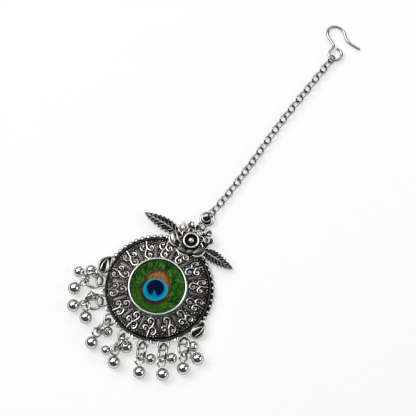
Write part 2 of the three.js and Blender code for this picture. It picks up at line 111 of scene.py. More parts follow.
TOP_LOOP = (-1.1, 31.4)
TOP_LOOP_RADIUS = 2.4
TOP_LOOP_WIRE = 0.85
LINKS = 31
LINK_LENGTH = 3.62
LINK_WIDTH = 3.4
LINK_WIRE = 0.7
LINK_ROLL = 50.0
LINK_PITCH = 2.444
CHAIN_GAP = 0.4
HOOK_WIRE = 1.0
HOOK_WIDTH = 13.7
HOOK_LENGTH = 9.7
EYE_RADIUS = 2.3
JUMP_RADIUS = 3.1
JUMP_WIRE = 1.0
SEAT_GAP = 0.34

LINK_HEIGHT = (LINK_WIDTH - LINK_WIRE) / 2 * sin(radians(LINK_ROLL)) + LINK_WIRE / 2

# Not as the solids have them: finer and deeper teeth, cut into the leaves' outline, and half the thickness of
# the lugs' rims, which keep the lugs' outline
LEAF_TEETH = 9
TOOTH_DEPTH = 0.7
LUG_RIM = 0.38

# Index of refraction of the stone, far under real glass's: at 1.45 bright specks lie on the print
GLASS_INDEX = 1.15

# Turned bodies stop this short of their axis
AXIS_GAP = 0.001

# The two directions of a ring that lies flat
FLAT = ((1, 0, 0), (0, 1, 0))

# Twisted line on the border: strands, the circle they lie on, and their turn from it in degrees
ROPE_STRANDS = 180
ROPE_CIRCLE = 18.52
ROPE_TWIST = 55

# Half the thickness of the fine lines beside the bars
FLANK_RADIUS = 0.12

# Oval backing of the crest: half sizes, flutes, and its shares of them with the height at each
CREST_HALF_WIDTH = 5.7
CREST_HALF_DEPTH = 4.7
FLUTES = 16
CREST_DOME = ((1.0, 0.8), (1.0, 1.9), (0.97, 2.3), (0.85, 2.75), (0.65, 3.15), (0.45, 3.4), (0.2, 3.5))

# Scroll lines of one motif: shares of the band's width outwards and to the side
SCROLLS = (
    ((1.0, -0.076), (0.85, -0.06), (0.66, -0.03), (0.54, -0.1), (0.477, -0.19), (0.503, -0.302),
     (0.62, -0.325), (0.695, -0.25), (0.66, -0.185), (0.605, -0.205)),
    ((0.66, -0.03), (0.55, 0.04), (0.51, 0.135), (0.593, 0.25), (0.75, 0.284), (0.87, 0.21), (0.84, 0.105),
     (0.77, 0.12), (0.755, 0.165)),
    ((0.66, -0.03), (0.52, 0.06), (0.397, 0.12), (0.232, 0.15), (0.114, 0.044), (0.134, -0.097),
     (0.257, -0.151), (0.352, -0.066), (0.31, 0.0), (0.25, -0.03)),
)

# Grains of cast silver round each motif: shares of the band's width outwards and to the side
GRAINS = (
    (0.93, -0.32), (0.95, -0.2), (0.96, 0.08), (0.97, 0.22), (0.93, 0.34), (0.8, -0.36), (0.35, -0.25),
    (0.3, 0.27), (0.08, -0.24), (0.1, 0.2), (0.42, 0.24), (0.66, 0.12), (0.78, -0.14), (0.82, 0.4),
    (0.45, -0.05), (0.2, -0.28), (0.6, 0.4), (0.06, -0.06), (0.68, -0.42),
)

# Flat bars: where they start and how long they are
BAR_START = BEZEL_OUTER + 0.7
BAR_LENGTH = 5.0

# Cuts across a bar: share of its length, share of its width, and height over the band
BAR_ROWS = (
    (0, 0.8, -0.4), (0, 0.8, 0.12), (0.03, 0.85, 0.2), (0.97, 1.1, 0.2), (1, 1.05, 0.12), (1, 1.05, -0.4),
)

# Corners of each cut: side, share of the half width, and height over the band
BAR_SECTION = ((-1, 1, -0.4), (-1, 1, 0.12), (-1, 0.82, 0.2), (1, 0.82, 0.2), (1, 1, 0.12), (1, 1, -0.4))

# The crest's ornament is drawn round the boss in a plan turned by this much from the piece's own
CREST_TURN = 36.0

# Petals: place from the boss, length, width, thickness, turn, height of the middle
PETALS = (
    (-6.4, 1.3, 4.0, 2.3, 1.9, 103, 3.3),
    (-2.6, 4.9, 3.3, 3.2, 2.4, 0, 3.0),
    (0.3, 6.1, 2.0, 1.4, 1.8, 84, 2.9),
    (3.2, 2.9, 2.6, 2.4, 1.6, 30, 3.0),
    (5.4, 0.1, 3.4, 2.6, 1.8, -60, 3.1),
    (6.1, 2.7, 1.6, 1.6, 1.6, 0, 3.0),
    (-3.2, -3.3, 4.6, 2.5, 1.7, -32, 3.8),
    (2.7, -3.9, 5.0, 2.8, 1.7, 22, 3.9),
    (-0.3, -3.9, 3.2, 2.4, 1.5, 0, 3.8),
    (3.6, 5.2, 2.6, 1.5, 1.7, -30, 2.7),
    (-4.9, 3.4, 2.4, 1.4, 1.6, 50, 2.9),
    (0.0, 6.3, 2.8, 2.4, 1.8, 90, 2.3),
    (3.5, 5.0, 2.8, 2.6, 1.8, 50, 2.3),
    (6.4, 3.0, 2.6, 2.2, 1.8, 20, 2.3),
    (7.0, 0.2, 2.4, 2.0, 1.8, -10, 2.3),
)

# Bright lines on the crest: thickness in the middle, then the places they run through from the boss
CREST_LINES = (
    (0.66, (-6.9, 3.1, 3.5), (-7.8, 1.3, 3.6), (-7.2, -0.7, 3.6), (-5.4, -1.8, 3.7)),
    (0.66, (-5.4, -3.1, 4.9), (-4.5, -4.4, 4.9), (-3.0, -5.3, 4.9), (-1.3, -5.6, 4.9)),
    (0.66, (0.4, -5.6, 4.9), (1.9, -6.0, 4.9), (3.6, -5.6, 4.9), (4.9, -4.1, 4.9)),
    (0.48, (7.5, -0.5, 3.4), (6.9, -1.8, 3.6), (5.5, -2.7, 3.8), (4.0, -3.1, 3.9)),
    (0.5, (-4.1, 5.7, 3.3), (-4.5, 4.3, 3.6), (-3.6, 2.9, 3.9)),
    (0.45, (2.8, 5.8, 3.4), (4.6, 5.3, 3.5), (5.6, 3.9, 3.5)),
    (0.4, (1.3, 5.4, 3.5), (1.5, 4.3, 3.7), (1.1, 3.3, 3.9)),
    (0.4, (-5.9, 3.6, 3.3), (-5.0, 2.2, 3.8), (-4.6, 0.6, 4.0)),
    (0.5, (-4.3, 6.0, 3.3), (-3.2, 7.0, 3.4), (-1.8, 6.6, 3.4), (-1.2, 5.6, 3.6)),
    (0.5, (-1.3, 6.3, 3.2), (-0.2, 7.4, 3.1), (1.1, 7.0, 3.1), (1.5, 5.8, 3.3)),
    (0.45, (2.0, 6.0, 3.2), (3.4, 6.4, 3.1), (4.7, 5.6, 3.1), (4.6, 4.4, 3.2)),
    (0.45, (5.2, 4.4, 3.1), (6.7, 4.2, 3.0), (7.5, 3.1, 3.0), (6.9, 2.0, 3.1)),
    (0.45, (6.4, 1.4, 3.1), (7.7, 1.1, 3.0), (8.0, 0.0, 3.0), (7.2, -0.8, 3.1)),
)

# Bright petals, in the same way as the dark ones
BRIGHT_PETALS = (
    (-6.45, 1.2, 4.2, 1.7, 1.6, 100, 3.6),
    (-2.9, 5.1, 2.7, 1.7, 1.6, 70, 3.9),
    (0.4, 6.2, 1.9, 1.2, 1.4, 90, 3.2),
    (6.3, 2.3, 1.5, 1.2, 1.4, 0, 3.6),
    (4.1, 4.7, 2.0, 1.0, 1.3, -40, 3.4),
    (-1.3, 5.0, 1.6, 0.9, 1.2, 95, 3.9),
)

# Curled rings on the crest: place from the boss, radius
CREST_RINGS = ((3.2, 2.95, 3.9, 0.85), (5.5, 0.2, 3.95, 0.9), (-2.3, 5.0, 4.1, 0.9))

# Leaves: side, root from the crest's middle, length, and how far the tip bends towards the stone
LEAVES = ((-1, 4.6, 15.6, 1.0), (1, 4.2, 13.4, -0.6))

# Drift of the chain to the side: share of its run, and share of a link's length
CHAIN_ROUTE = ((0, -0.304), (0.1, -0.166), (0.3, -0.138), (0.55, -0.249), (0.8, -0.138), (1, 0))

# Route of the hook after its eye, as shares of its width and length
HOOK_ROUTE = (
    (-0.153, 0.15), (-0.19, 0.27), (-0.285, 0.335), (-0.39, 0.4), (-0.5, 0.5), (-0.566, 0.69), (-0.52, 0.885),
    (-0.36, 1.0), (-0.175, 0.95), (-0.06, 0.81), (0.07, 0.725), (0.25, 0.71), (0.434, 0.727),
)

# Jump rings: heading in plan, lean from the flat, and reach from the cast loop's middle in ring radii
JUMP_RINGS = (
    (216, -48, 0.935), (226, -48, 0.935), (266, 62, 1.032), (280, 70, 1.065), (300, 62, 1.0),
    (302, 62, 1.032), (309, 55, 1.0),
)

# Drops: jump ring, seat on it, heading in plan, size
DROPS = (
    (1, -26, 172, "middle"), (1, 12, 248, "big"), (1, -102, 168, "middle"), (2, -10, 230, "big"),
    (2, 16, 306, "big"), (2, -84, 168, "small"), (3, -22, 280, "big"), (3, 70, 24, "middle"),
    (4, -10, 300, "big"), (4, 100, 342, "big"), (4, -42, 232, "small"), (5, -15, 305, "big"),
    (5, 42, 32, "middle"), (6, -8, 311, "big"), (6, 40, 55, "middle"), (7, -12, 305, "big"),
    (7, 26, 18, "big"), (7, 80, 65, "middle"),
)

# Paper under the piece in metres: half its side, and how far it lies below the floor's zero
FLOOR_HALF = 1.5
FLOOR_DROP = 0.00005

# Middle of the picture on the floor, from the stone's axis in millimetres
PICTURE_MIDDLE = (-3.60, 35.20)

# Lights: name, the setting that holds its power, share of that, width and height, and place in metres from
# the picture's middle to its right, up in it and towards the camera
LIGHTS = (
    ("key", "key", 1.0, (0.8, 0.8), (-0.75, 0.6, 0.9)),
    ("fill", "key", 0.35, (0.9, 0.6), (1.1, 0.05, 0.7)),
    ("rim", "key", 0.3, (1.4, 0.3), (0.0, 1.2, 0.5)),
    ("overhead", "overhead", 1.0, (0.8, 0.7), (0.0, 0.6, 0.95)),
)

# Drop sizes: ball radius, eyelet radius, eyelet wire, neck
DROP_SIZES = {
    "big": (2.25, 1.6, 0.75, 0.25),
    "middle": (1.95, 1.5, 0.7, 0.2),
    "small": (1.7, 1.35, 0.6, 0.15),
}


def stone_axis():
    low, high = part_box("cabochon")
    return (low + high) / 2


AXIS = stone_axis()


def circle(count):
    """The angles of equal steps round a circle."""
    return [2 * pi * k / count for k in range(count)]


def about_z(degrees, size=3):
    """A turn in plan."""
    return Matrix.Rotation(radians(degrees), size, "Z")


class Form:
    """Spots in millimetres round the stone's axis, and the faces between them."""

    def __init__(self):
        self.spots = []
        self.faces = []

    def add(self, spots, faces):
        start = len(self.spots)
        self.spots.extend(Vector(spot) for spot in spots)
        self.faces.extend(tuple(start + i for i in face) for face in faces)
        return self

    def grid(self, rows, closed_rows=False):
        """Joins rows of spots, one after another, into a skin."""
        count = len(rows[0])
        faces = []
        for r in range(len(rows) if closed_rows else len(rows) - 1):
            here, following = r * count, (r + 1) % len(rows) * count
            for c in range(count):
                beside = (c + 1) % count
                faces.append((here + c, here + beside, following + beside, following + c))
        return self.add([spot for row in rows for spot in row], faces)

    def turned(self, profile, sides, middle=(0, 0)):
        """A body turned about an upright axis from radius and height pairs."""
        return self.grid([
            [(middle[0] + radius * cos(t), middle[1] + radius * sin(t), height) for t in circle(sides)]
            for radius, height in profile
        ])

    def ring(self, middle, ahead, across, radius, wire, major=40, minor=12, stretch=0.0):
        """A round wire bent to a ring in the plane of two directions, its halves pulled apart by stretch."""
        middle, ahead, across = Vector(middle), Vector(ahead), Vector(across)
        normal = ahead.cross(across)
        rows = []
        for turn in circle(major):
            out = ahead * cos(turn) + across * sin(turn)
            pull = ahead * copysign(stretch, cos(turn))
            rows.append([
                middle + pull + out * (radius + wire / 2 * cos(t)) + normal * (wire / 2 * sin(t))
                for t in circle(minor)
            ])
        return self.grid(rows, closed_rows=True)

    def ball(self, middle, radii, turn=0.0, sides=20, rows=12):
        """An egg with three half sizes, turned in plan."""
        middle = Vector(middle)
        spin = about_z(turn)
        bands = []
        for r in range(1, rows):
            tilt = pi * r / rows
            bands.append([
                middle + spin @ Vector((radii[0] * sin(tilt) * cos(t),
                                        radii[1] * sin(tilt) * sin(t), radii[2] * cos(tilt)))
                for t in circle(sides)
            ])
        self.grid(bands)
        start = len(self.spots)
        first, last = start - sides * (rows - 1), start - sides
        self.spots.extend((middle + Vector((0, 0, radii[2])), middle - Vector((0, 0, radii[2]))))
        for k in range(sides):
            beside = (k + 1) % sides
            self.faces.append((start, first + beside, first + k))
            self.faces.append((start + 1, last + k, last + beside))
        return self

    def wire(self, line, radii, sides=10):
        """A round wire along a line of spots, with a radius at each of them, and rounded ends."""
        line = [Vector(spot) for spot in line]
        ahead = (line[1] - line[0]).normalized()
        side = ahead.orthogonal().normalized()
        rows = []
        for k, spot in enumerate(line):
            before, after = line[max(k - 1, 0)], line[min(k + 1, len(line) - 1)]
            heading = (after - before).normalized()
            side = (side - heading * side.dot(heading)).normalized()
            other = heading.cross(side)
            rows.append([
                spot + (side * cos(t) + other * sin(t)) * radii[k]
                for t in circle(sides)
            ])
        self.grid(rows)
        start = len(self.spots) - len(rows) * sides
        ends = ((0, line[0], line[0] - line[1]), (len(rows) - 1, line[-1], line[-1] - line[-2]))
        for row, end, away in ends:
            tip = len(self.spots)
            self.spots.append(end + away.normalized() * radii[-1 if row else 0] * 0.6)
            first = start + row * sides
            self.faces.extend((tip, first + m, first + (m + 1) % sides) for m in range(sides))
        return self

    def strand(self, points, steps, sides, *taper):
        """A wire along a smooth line through the points, thinner towards both ends."""
        line = smooth_line(points, steps)
        return self.wire(line, tapered(len(line), *taper), sides)

    def slab(self, outline, bottom, top, chamfer=0.0):
        """A flat plate with an outline, its upper edge cut back a little."""
        count = len(outline)
        middle = sum((Vector((x, y)) for x, y in outline), Vector((0, 0))) / count
        inner = [Vector((x, y)) + (middle - Vector((x, y))).normalized() * chamfer for x, y in outline]
        rows = [
            [(x, y, bottom) for x, y in outline],
            [(x, y, top - chamfer) for x, y in outline],
            [(p.x, p.y, top) for p in inner],
        ]
        self.grid(rows)
        start = len(self.spots) - 3 * count
        self.faces.append(tuple(start + count - 1 - k for k in range(count)))
        self.faces.append(tuple(start + 2 * count + k for k in range(count)))
        return self

    def moved(self, matrix, start=0):
        """Moves the spots from a given one on."""
        for k in range(start, len(self.spots)):
            self.spots[k] = matrix @ self.spots[k]
        return self


def plan(degrees, length=1.0, height=0.0):
    return Vector((cos(radians(degrees)) * length, sin(radians(degrees)) * length, height))


def smooth_line(points, steps):
    """A smooth line through the points, with equal numbers of steps between each two."""
    points = [Vector(p).to_3d() for p in points]
    ends = [points[0] * 2 - points[1], *points, points[-1] * 2 - points[-2]]
    line = []
    for before, start, end, after in zip(ends, ends[1:], ends[2:], ends[3:]):
        first = sqrt((start - before).length) or 1.0
        span = sqrt((end - start).length) or 1.0
        last = sqrt((after - end).length) or 1.0
        leave = ((start - before) / first - (end - before) / (first + span) + (end - start) / span) * span
        enter = ((end - start) / span - (after - start) / (span + last) + (after - end) / last) * span
        for k in range(steps):
            t = k / steps
            square, cube = t * t, t * t * t
            line.append(start * (1 - 3 * square + 2 * cube) + end * (3 * square - 2 * cube)
                        + leave * (t - 2 * square + cube) + enter * (cube - square))
    line.append(points[-1])
    return line


def tapered(count, radius, start=0.6, end=0.6, share=0.2):
    """Radii of a wire that thins towards both ends."""
    radii = []
    for k in range(count):
        along = k / (count - 1)
        rise = min(1.0, start + (1 - start) * along / share)
        fall = min(1.0, end + (1 - end) * (1 - along) / share)
        radii.append(radius * min(rise, fall))
    return radii


def band_height(radius):
    share = (radius - BEZEL_OUTER) / (BAND_OUTER - BEZEL_OUTER)
    return SEAT_HEIGHT + (BAND_OUTER_HEIGHT - SEAT_HEIGHT) * share


def make_piece(name, form, finish, slot, *nodes, sharp=38.0):
    """Makes one object from a form, that stands for the given solids."""
    mesh = bpy.data.meshes.new(name)
    spots = [(AXIS.x + p.x * MM, AXIS.y + p.y * MM, p.z * MM) for p in form.spots]
    mesh.from_pydata(spots, [], form.faces)
    work = bmesh.new()
    work.from_mesh(mesh)
    bmesh.ops.remove_doubles(work, verts=work.verts, dist=1e-7)
    bmesh.ops.recalc_face_normals(work, faces=work.faces)
    for face in work.faces:
        face.smooth = True
    work.to_mesh(mesh)
    work.free()
    mesh.set_sharp_from_angle(angle=radians(sharp))
    mesh.materials.append(bpy.data.materials[finish])
    piece = bpy.data.objects.new(name, mesh)
    bpy.context.scene.collection.objects.link(piece)
    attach(piece, BODY)
    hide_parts(*nodes)


def cast(name, form, finish):
    """Makes one part of the pendant."""
    make_piece(name, form, finish, "dark_silver", "pendant")


# Finishes


class Nodes:
    """Short ways to add shader nodes to a tree."""

    def __init__(self, tree):
        self.tree = tree

    def add(self, kind, **values):
        node = self.tree.nodes.new(kind)
        for key, value in values.items():
            setattr(node, key, value)
        return node

    def link(self, source, target):
        self.tree.links.new(source, target)

    def feed(self, socket, value):
        if isinstance(value, bpy.types.NodeSocket):
            self.link(value, socket)
        else:
            socket.default_value = value

    def math(self, operation, first, second=0.0):
        node = self.add("ShaderNodeMath", operation=operation)
        for socket, value in zip(node.inputs, (first, second)):
            self.feed(socket, value)
        return node.outputs[0]

    def plus(self, first, second):
        return self.math("ADD", first, second)

    def minus(self, first, second):
        return self.math("SUBTRACT", first, second)

    def times(self, first, second):
        return self.math("MULTIPLY", first, second)

    def mix(self, share, first, second):
        node = self.add("ShaderNodeMix", data_type="RGBA")
        self.feed(node.inputs["Factor"], share)
        self.feed(node.inputs[6], first)
        self.feed(node.inputs[7], second)
        return node.outputs[2]

    def ramp(self, value, low, high, start=0.0, end=1.0):
        """A smooth step from start to end as the value goes from low to high."""
        node = self.add("ShaderNodeMapRange", interpolation_type="SMOOTHSTEP")
        for socket, number in zip(node.inputs, (value, low, high, start, end)):
            self.feed(socket, number)
        return node.outputs[0]

    def noise(self, place, scale, detail=3.0, roughness=0.55):
        node = self.add("ShaderNodeTexNoise")
        self.fill(node, {"Vector": place, "Scale": scale, "Detail": detail, "Roughness": roughness})
        return node.outputs["Fac"]

    def grains(self, place, scale):
        node = self.add("ShaderNodeTexVoronoi")
        self.fill(node, {"Vector": place, "Scale": scale})
        return node.outputs["Distance"]

    def fill(self, node, values):
        """Gives a node's inputs values or links, by their names."""
        for name, value in values.items():
            self.feed(node.inputs[name], value)

    def bump(self, height, depth, shader):
        """Lets a height shape a shader's surface."""
        relief = self.add("ShaderNodeBump")
        self.fill(relief, {"Distance": depth * MM, "Height": height})
        self.link(relief.outputs[0], shader.inputs["Normal"])

    def place(self):
        return self.add("ShaderNodeTexCoord").outputs["Object"]


def group_sockets(group, inputs, outputs):
    for name, kind, value in inputs:
        socket = group.interface.new_socket(name, in_out="INPUT", socket_type=kind)
        socket.default_value = value
    for name, kind in outputs:
        group.interface.new_socket(name, in_out="OUTPUT", socket_type=kind)


def oxide_and_shade_group():
    """Dark oxide that gathers in the recesses of the metal and is rubbed off its high spots, with painted
    shade where the metal is closed in or lies close to another part.
    """
    group = bpy.data.node_groups.new("Oxide and painted shade in recesses", "ShaderNodeTree")
    group_sockets(group, (
        ("Metal", "NodeSocketColor", (0.8, 0.8, 0.8, 1)),
        ("Oxide", "NodeSocketColor", (0.02, 0.02, 0.02, 1)),
        ("Reach", "NodeSocketFloat", 0.0008),
        ("Amount", "NodeSocketFloat", 0.5),
        ("Patchiness", "NodeSocketFloat", 0.3),
        ("Polished roughness", "NodeSocketFloat", 0.15),
        ("Oxide roughness", "NodeSocketFloat", 0.5),
    ), (("Color", "NodeSocketColor"), ("Roughness", "NodeSocketFloat")))
    make = Nodes(group)
    inside = make.add("NodeGroupInput").outputs
    outside = make.add("NodeGroupOutput").inputs
    # Painted shade as well as oxide: how closed in a spot is darkens it, also where it only lies near another
    # part or touches it
    shade = make.add("ShaderNodeAmbientOcclusion", samples=8)
    make.link(inside["Reach"], shade.inputs["Distance"])
    patches = make.noise(make.place(), 900.0)
    swing = make.times(make.minus(patches, 0.5), inside["Patchiness"])
    open_share = make.plus(shade.outputs["AO"], swing)
    clean_and_unshaded = make.ramp(open_share, make.times(inside["Amount"], 0.6), inside["Amount"])
    make.link(make.mix(clean_and_unshaded, inside["Oxide"], inside["Metal"]), outside["Color"])
    rough = make.add("ShaderNodeMix")
    make.link(clean_and_unshaded, rough.inputs["Factor"])
    make.link(inside["Oxide roughness"], rough.inputs[2])
    make.link(inside["Polished roughness"], rough.inputs[3])
    make.link(rough.outputs[0], outside["Roughness"])


def wear_group():
    """Fine scratches and a hammered unevenness, as a height."""
    group = bpy.data.node_groups.new("Handled metal", "ShaderNodeTree")
    group_sockets(group, (
        ("Dents", "NodeSocketFloat", 0.3),
        ("Scratches", "NodeSocketFloat", 0.2),
    ), (("Height", "NodeSocketFloat"),))
    make = Nodes(group)
    inside = make.add("NodeGroupInput").outputs
    outside = make.add("NodeGroupOutput").inputs
    place = make.place()
    stretched = make.add("ShaderNodeMapping")
    make.link(place, stretched.inputs["Vector"])
    stretched.inputs["Scale"].default_value = (400, 6000, 400)
    dents = make.times(make.noise(place, 500.0, 2.0), inside["Dents"])
    lines = make.times(make.noise(stretched.outputs[0], 1.0, 2.0), inside["Scratches"])
    make.link(make.plus(dents, lines), outside["Height"])


def new_material(name):
    material = bpy.data.materials.new(name)
    material.use_nodes = True
    make = Nodes(material.node_tree)
    shader = material.node_tree.nodes["Principled BSDF"]
    return make, shader


# Silver finishes: name, share of the silver's brightness, how far round a spot its recess is judged in
# millimetres, how open a spot is where the oxide and the painted shade in recesses end, its patchiness,
# roughness of the clean and of the oxidised metal, dents, scratches, depth of these in millimetres, how far
# bright grains cover it, and how far surfaces seen at a grazing angle are darkened by painted shade, in place
# of the dark surroundings they would mirror
FINISHES = (
    ("Ball silver", 0.98, 1.2, 0.62, 0.4, 0.08, 0.4, 0.3, 0.05, 0.03, 0.0, 0.85),
    ("Bezel silver", 0.95, 1.0, 0.5, 0.2, 0.3, 0.4, 0.25, 0.05, 0.02, 0.0, 0.6),
    ("Bead silver", 0.9, 1.3, 0.85, 0.2, 0.16, 0.45, 0.3, 0.05, 0.03, 0.0, 0.85),
    ("Wire silver", 0.56, 1.1, 0.7, 0.3, 0.16, 0.45, 0.3, 0.1, 0.03, 0.0, 0.85),
    ("Line silver", 1.0, 0.45, 0.35, 0.3, 0.3, 0.5, 0.5, 0.1, 0.03, 0.0, 0.5),
    ("Petal silver", 0.16, 0.9, 0.9, 0.7, 0.36, 0.5, 0.7, 0.2, 0.08, 0.0, 0.5),
    ("Bar silver", 0.14, 0.6, 0.8, 0.9, 0.4, 0.55, 0.8, 0.6, 0.06, 0.0, 0.3),
    ("Leaf ground", 0.016, 0.8, 0.95, 0.9, 0.5, 0.6, 0.8, 0.3, 0.08, 0.0, 0.2),
    ("Oxidised ground", 0.04, 1.0, 0.95, 0.9, 0.5, 0.65, 0.8, 0.3, 0.12, 0.5, 0.3),
)


def silver(name, metal, oxide, reach, amount, patchiness, polished, dull, dents, scratches, bump, grain,
           grazing_painted_shade):
    """One silver finish: how far the oxide and the painted shade in recesses spread, how rough each part is,
    how uneven the surface is, and how far painted shade darkens surfaces seen at a grazing angle.
    """
    make, shader = new_material(name)
    shader.inputs["Metallic"].default_value = 1.0
    cover = make.add("ShaderNodeGroup", node_tree=bpy.data.node_groups["Oxide and painted shade in recesses"])
    make.fill(cover, {"Metal": (*metal, 1), "Oxide": (*oxide, 1), "Reach": reach * MM, "Amount": amount,
                      "Patchiness": patchiness, "Polished roughness": polished, "Oxide roughness": dull})
    wear = make.add("ShaderNodeGroup", node_tree=bpy.data.node_groups["Handled metal"])
    make.fill(wear, {"Dents": dents, "Scratches": scratches})
    height = wear.outputs["Height"]
    color, rough = cover.outputs["Color"], cover.outputs["Roughness"]
    if grain:
        bumps = make.ramp(make.grains(make.place(), 1300.0), 0.12, 0.42, 1.0, 0.0)
        height = make.plus(height, make.times(bumps, grain))
        sparse = make.ramp(make.noise(make.place(), 1100.0, 1.0), 0.48, 0.62, 0.0, 0.6)
        color = make.mix(make.times(bumps, sparse), color, (0.35, 0.34, 0.33, 1))
    # Painted shade: surfaces seen at a grazing angle are mixed towards the oxide colour, in place of the dark
    # surroundings they would mirror
    facing = make.add("ShaderNodeLayerWeight").outputs["Facing"]
    color = make.mix(make.ramp(facing, 0.25, 0.8, 0.0, grazing_painted_shade), color, (*oxide, 1))
    make.fill(shader, {"Base Color": color, "Roughness": rough})
    make.bump(height, bump, shader)


def glass():
    make, shader = new_material("Stone glass")
    shader.inputs["Base Color"].default_value = (1, 1, 1, 1)
    shader.inputs["Roughness"].default_value = 0.0
    shader.inputs["IOR"].default_value = GLASS_INDEX
    shader.inputs["Specular Tint"].default_value = (0, 0, 0, 1)
    shader.inputs["Transmission Weight"].default_value = 1.0
    output = make.tree.nodes["Material Output"]
    paths = make.add("ShaderNodeLightPath")
    clear = make.add("ShaderNodeBsdfTransparent")
    choice = make.add("ShaderNodeMixShader")
    through = make.math("MAXIMUM", paths.outputs["Is Shadow Ray"], paths.outputs["Is Diffuse Ray"])
    make.link(make.math("MAXIMUM", through, paths.outputs["Is Transmission Ray"]), choice.inputs[0])
    make.link(shader.outputs[0], choice.inputs[1])
    make.link(clear.outputs[0], choice.inputs[2])
    make.link(choice.outputs[0], output.inputs["Surface"])


def feather_print(settings):
    """The printed feather: barbs round an egg, with a ring and a notched eye in it."""
    make, shader = new_material("Feather print")
    shader.inputs["Roughness"].default_value = 0.8
    shader.inputs["Specular IOR Level"].default_value = 0.0
    place = make.add("ShaderNodeVectorMath", operation="SUBTRACT")
    make.link(make.place(), place.inputs[0])
    place.inputs[1].default_value = (AXIS.x, AXIS.y, 0)
    spun = make.add("ShaderNodeMapping", vector_type="POINT")
    make.link(place.outputs[0], spun.inputs["Vector"])
    spun.inputs["Rotation"].default_value = (0, 0, -settings.turn)
    spun.inputs["Scale"].default_value = (settings.magnify / MM,) * 3
    spun.inputs["Location"].default_value = (*(-at / MM for at in settings.shift), 0)
    split = make.add("ShaderNodeSeparateXYZ")
    make.link(spun.outputs[0], split.inputs[0])
    x, y = split.outputs[0], split.outputs[1]
    fray = make.times(make.minus(make.noise(spun.outputs[0], 1.6, 4.0), 0.5), 1.1)

    def egg(middle, half_width, half_length, tilt, narrow=0.0):
        """How far a spot is from the middle of an egg, 1 on its edge."""
        lean_x, lean_y = cos(radians(tilt)), sin(radians(tilt))
        dx, dy = make.minus(x, middle[0]), make.minus(y, middle[1])
        along = make.plus(make.times(dx, lean_x / half_length), make.times(dy, lean_y / half_length))
        side = make.plus(make.times(dx, -lean_y / half_width), make.times(dy, lean_x / half_width))
        side = make.math("DIVIDE", side, make.minus(1.0, make.times(along, narrow)))
        return make.math("SQRT", make.plus(make.times(along, along), make.times(side, side)))

    # Barbs fan out from the foot of the feather
    foot = (-3.4, -11.0)
    from_x, from_y = make.minus(x, foot[0]), make.minus(y, foot[1])
    angle = make.math("ARCTAN2", from_y, from_x)
    squares = make.plus(make.math("POWER", from_x, 2.0), make.math("POWER", from_y, 2.0))
    reach = make.math("SQRT", squares)
    fan = make.add("ShaderNodeCombineXYZ")
    make.link(make.plus(make.times(angle, 18.0), make.times(fray, 0.8)), fan.inputs[0])
    make.link(make.times(reach, 0.24), fan.inputs[1])
    barbs = make.noise(fan.outputs[0], 1.0, 6.0, 0.7)
    fine = make.noise(fan.outputs[0], 2.1, 3.0, 0.7)
    green = make.mix(make.ramp(barbs, 0.42, 0.58), (*settings.dark_green, 1), (*settings.green, 1))
    green = make.mix(make.ramp(fine, 0.53, 0.63, 0.0, 0.7), green, (0.12, 0.3, 0.04, 1))
    green = make.mix(make.ramp(fine, 0.46, 0.34, 0.0, 0.75), green, (0.004, 0.02, 0.006, 1))
    copper = make.mix(make.ramp(barbs, 0.42, 0.54), (0.15, 0.055, 0.02, 1), (*settings.copper, 1))
    top = make.ramp(make.plus(y, make.times(fine, 3.0)), 5.4, 7.2, 0.0, 0.8)
    copper = make.mix(top, copper, (0.09, 0.045, 0.05, 1))
    pale = make.times(make.ramp(fine, 0.5, 0.6, 0.0, 0.6), make.ramp(y, 2.5, 4.5))
    copper = make.mix(pale, copper, (0.45, 0.27, 0.2, 1))
    shell = make.plus(egg((-0.62, -0.33), 5.15, 6.65, 73, 0.2), make.times(fray, 0.05))
    low_dark = make.ramp(make.plus(y, x), 1.0, -4.5)
    copper = make.mix(low_dark, copper, (0.035, 0.01, 0.008, 1))
    rim = make.times(make.ramp(shell, 0.78, 0.96), 0.75)
    copper = make.mix(rim, copper, (0.05, 0.03, 0.015, 1))
    picture = make.mix(make.ramp(shell, 1.08, 0.96), green, copper)
    ring = egg((-0.98, -1.49), 4.03, 4.37, 0)
    blue = make.mix(make.ramp(ring, 0.6, 0.95), (*settings.blue, 1), (0.0, 0.34, 0.52, 1))
    blue = make.mix(make.ramp(fine, 0.6, 0.8, 0.0, 0.35), blue, (0.02, 0.5, 0.62, 1))
    picture = make.mix(make.ramp(ring, 1.05, 0.97), picture, blue)
    eye = egg((-0.9, -0.85), 2.96, 3.08, 0)
    notch_width = make.times(make.minus(-1.45, y), 0.5)
    notch_side = make.math("ABSOLUTE", make.plus(x, 1.34))
    notch = make.ramp(make.minus(notch_width, notch_side), -0.12, 0.18)
    pupil = make.times(make.ramp(eye, 1.06, 0.97), make.minus(1.0, notch))
    picture = make.mix(pupil, picture, (*settings.navy, 1))
    make.link(picture, shader.inputs["Base Color"])
    make.bump(barbs, 0.02, shader)


def studio_white(settings):
    make, shader = new_material("Studio paper")
    tone = make.ramp(make.noise(make.place(), 60.0), 0.0, 1.0, 0.96, 1.0)
    white = tuple(settings.floor_color)
    make.link(make.mix(tone, (*(0.97 * c for c in white), 1), (*white, 1)), shader.inputs["Base Color"])
    shader.inputs["Roughness"].default_value = 0.85
    # Painted light: the paper glows evenly with no lamp under it, which lightens the shadows on it
    shader.inputs["Emission Color"].default_value = (1, 1, 1, 1)
    shader.inputs["Emission Strength"].default_value = settings.floor_painted_glow


# Settings


class TikkaMetal(bpy.types.PropertyGroup):
    """Colours of the silver"""

    bright: FloatVectorProperty(
        name="Bright silver", description="Colour of the polished wire, balls and high spots",
        subtype="COLOR", min=0, max=1, default=(0.82, 0.80, 0.77))
    # Also the colour of the painted shade at grazing angles and near other parts
    oxide: FloatVectorProperty(
        name="Oxide", description="Colour of the dark finish in the recesses",
        subtype="COLOR", min=0, max=1, default=(0.012, 0.011, 0.01))


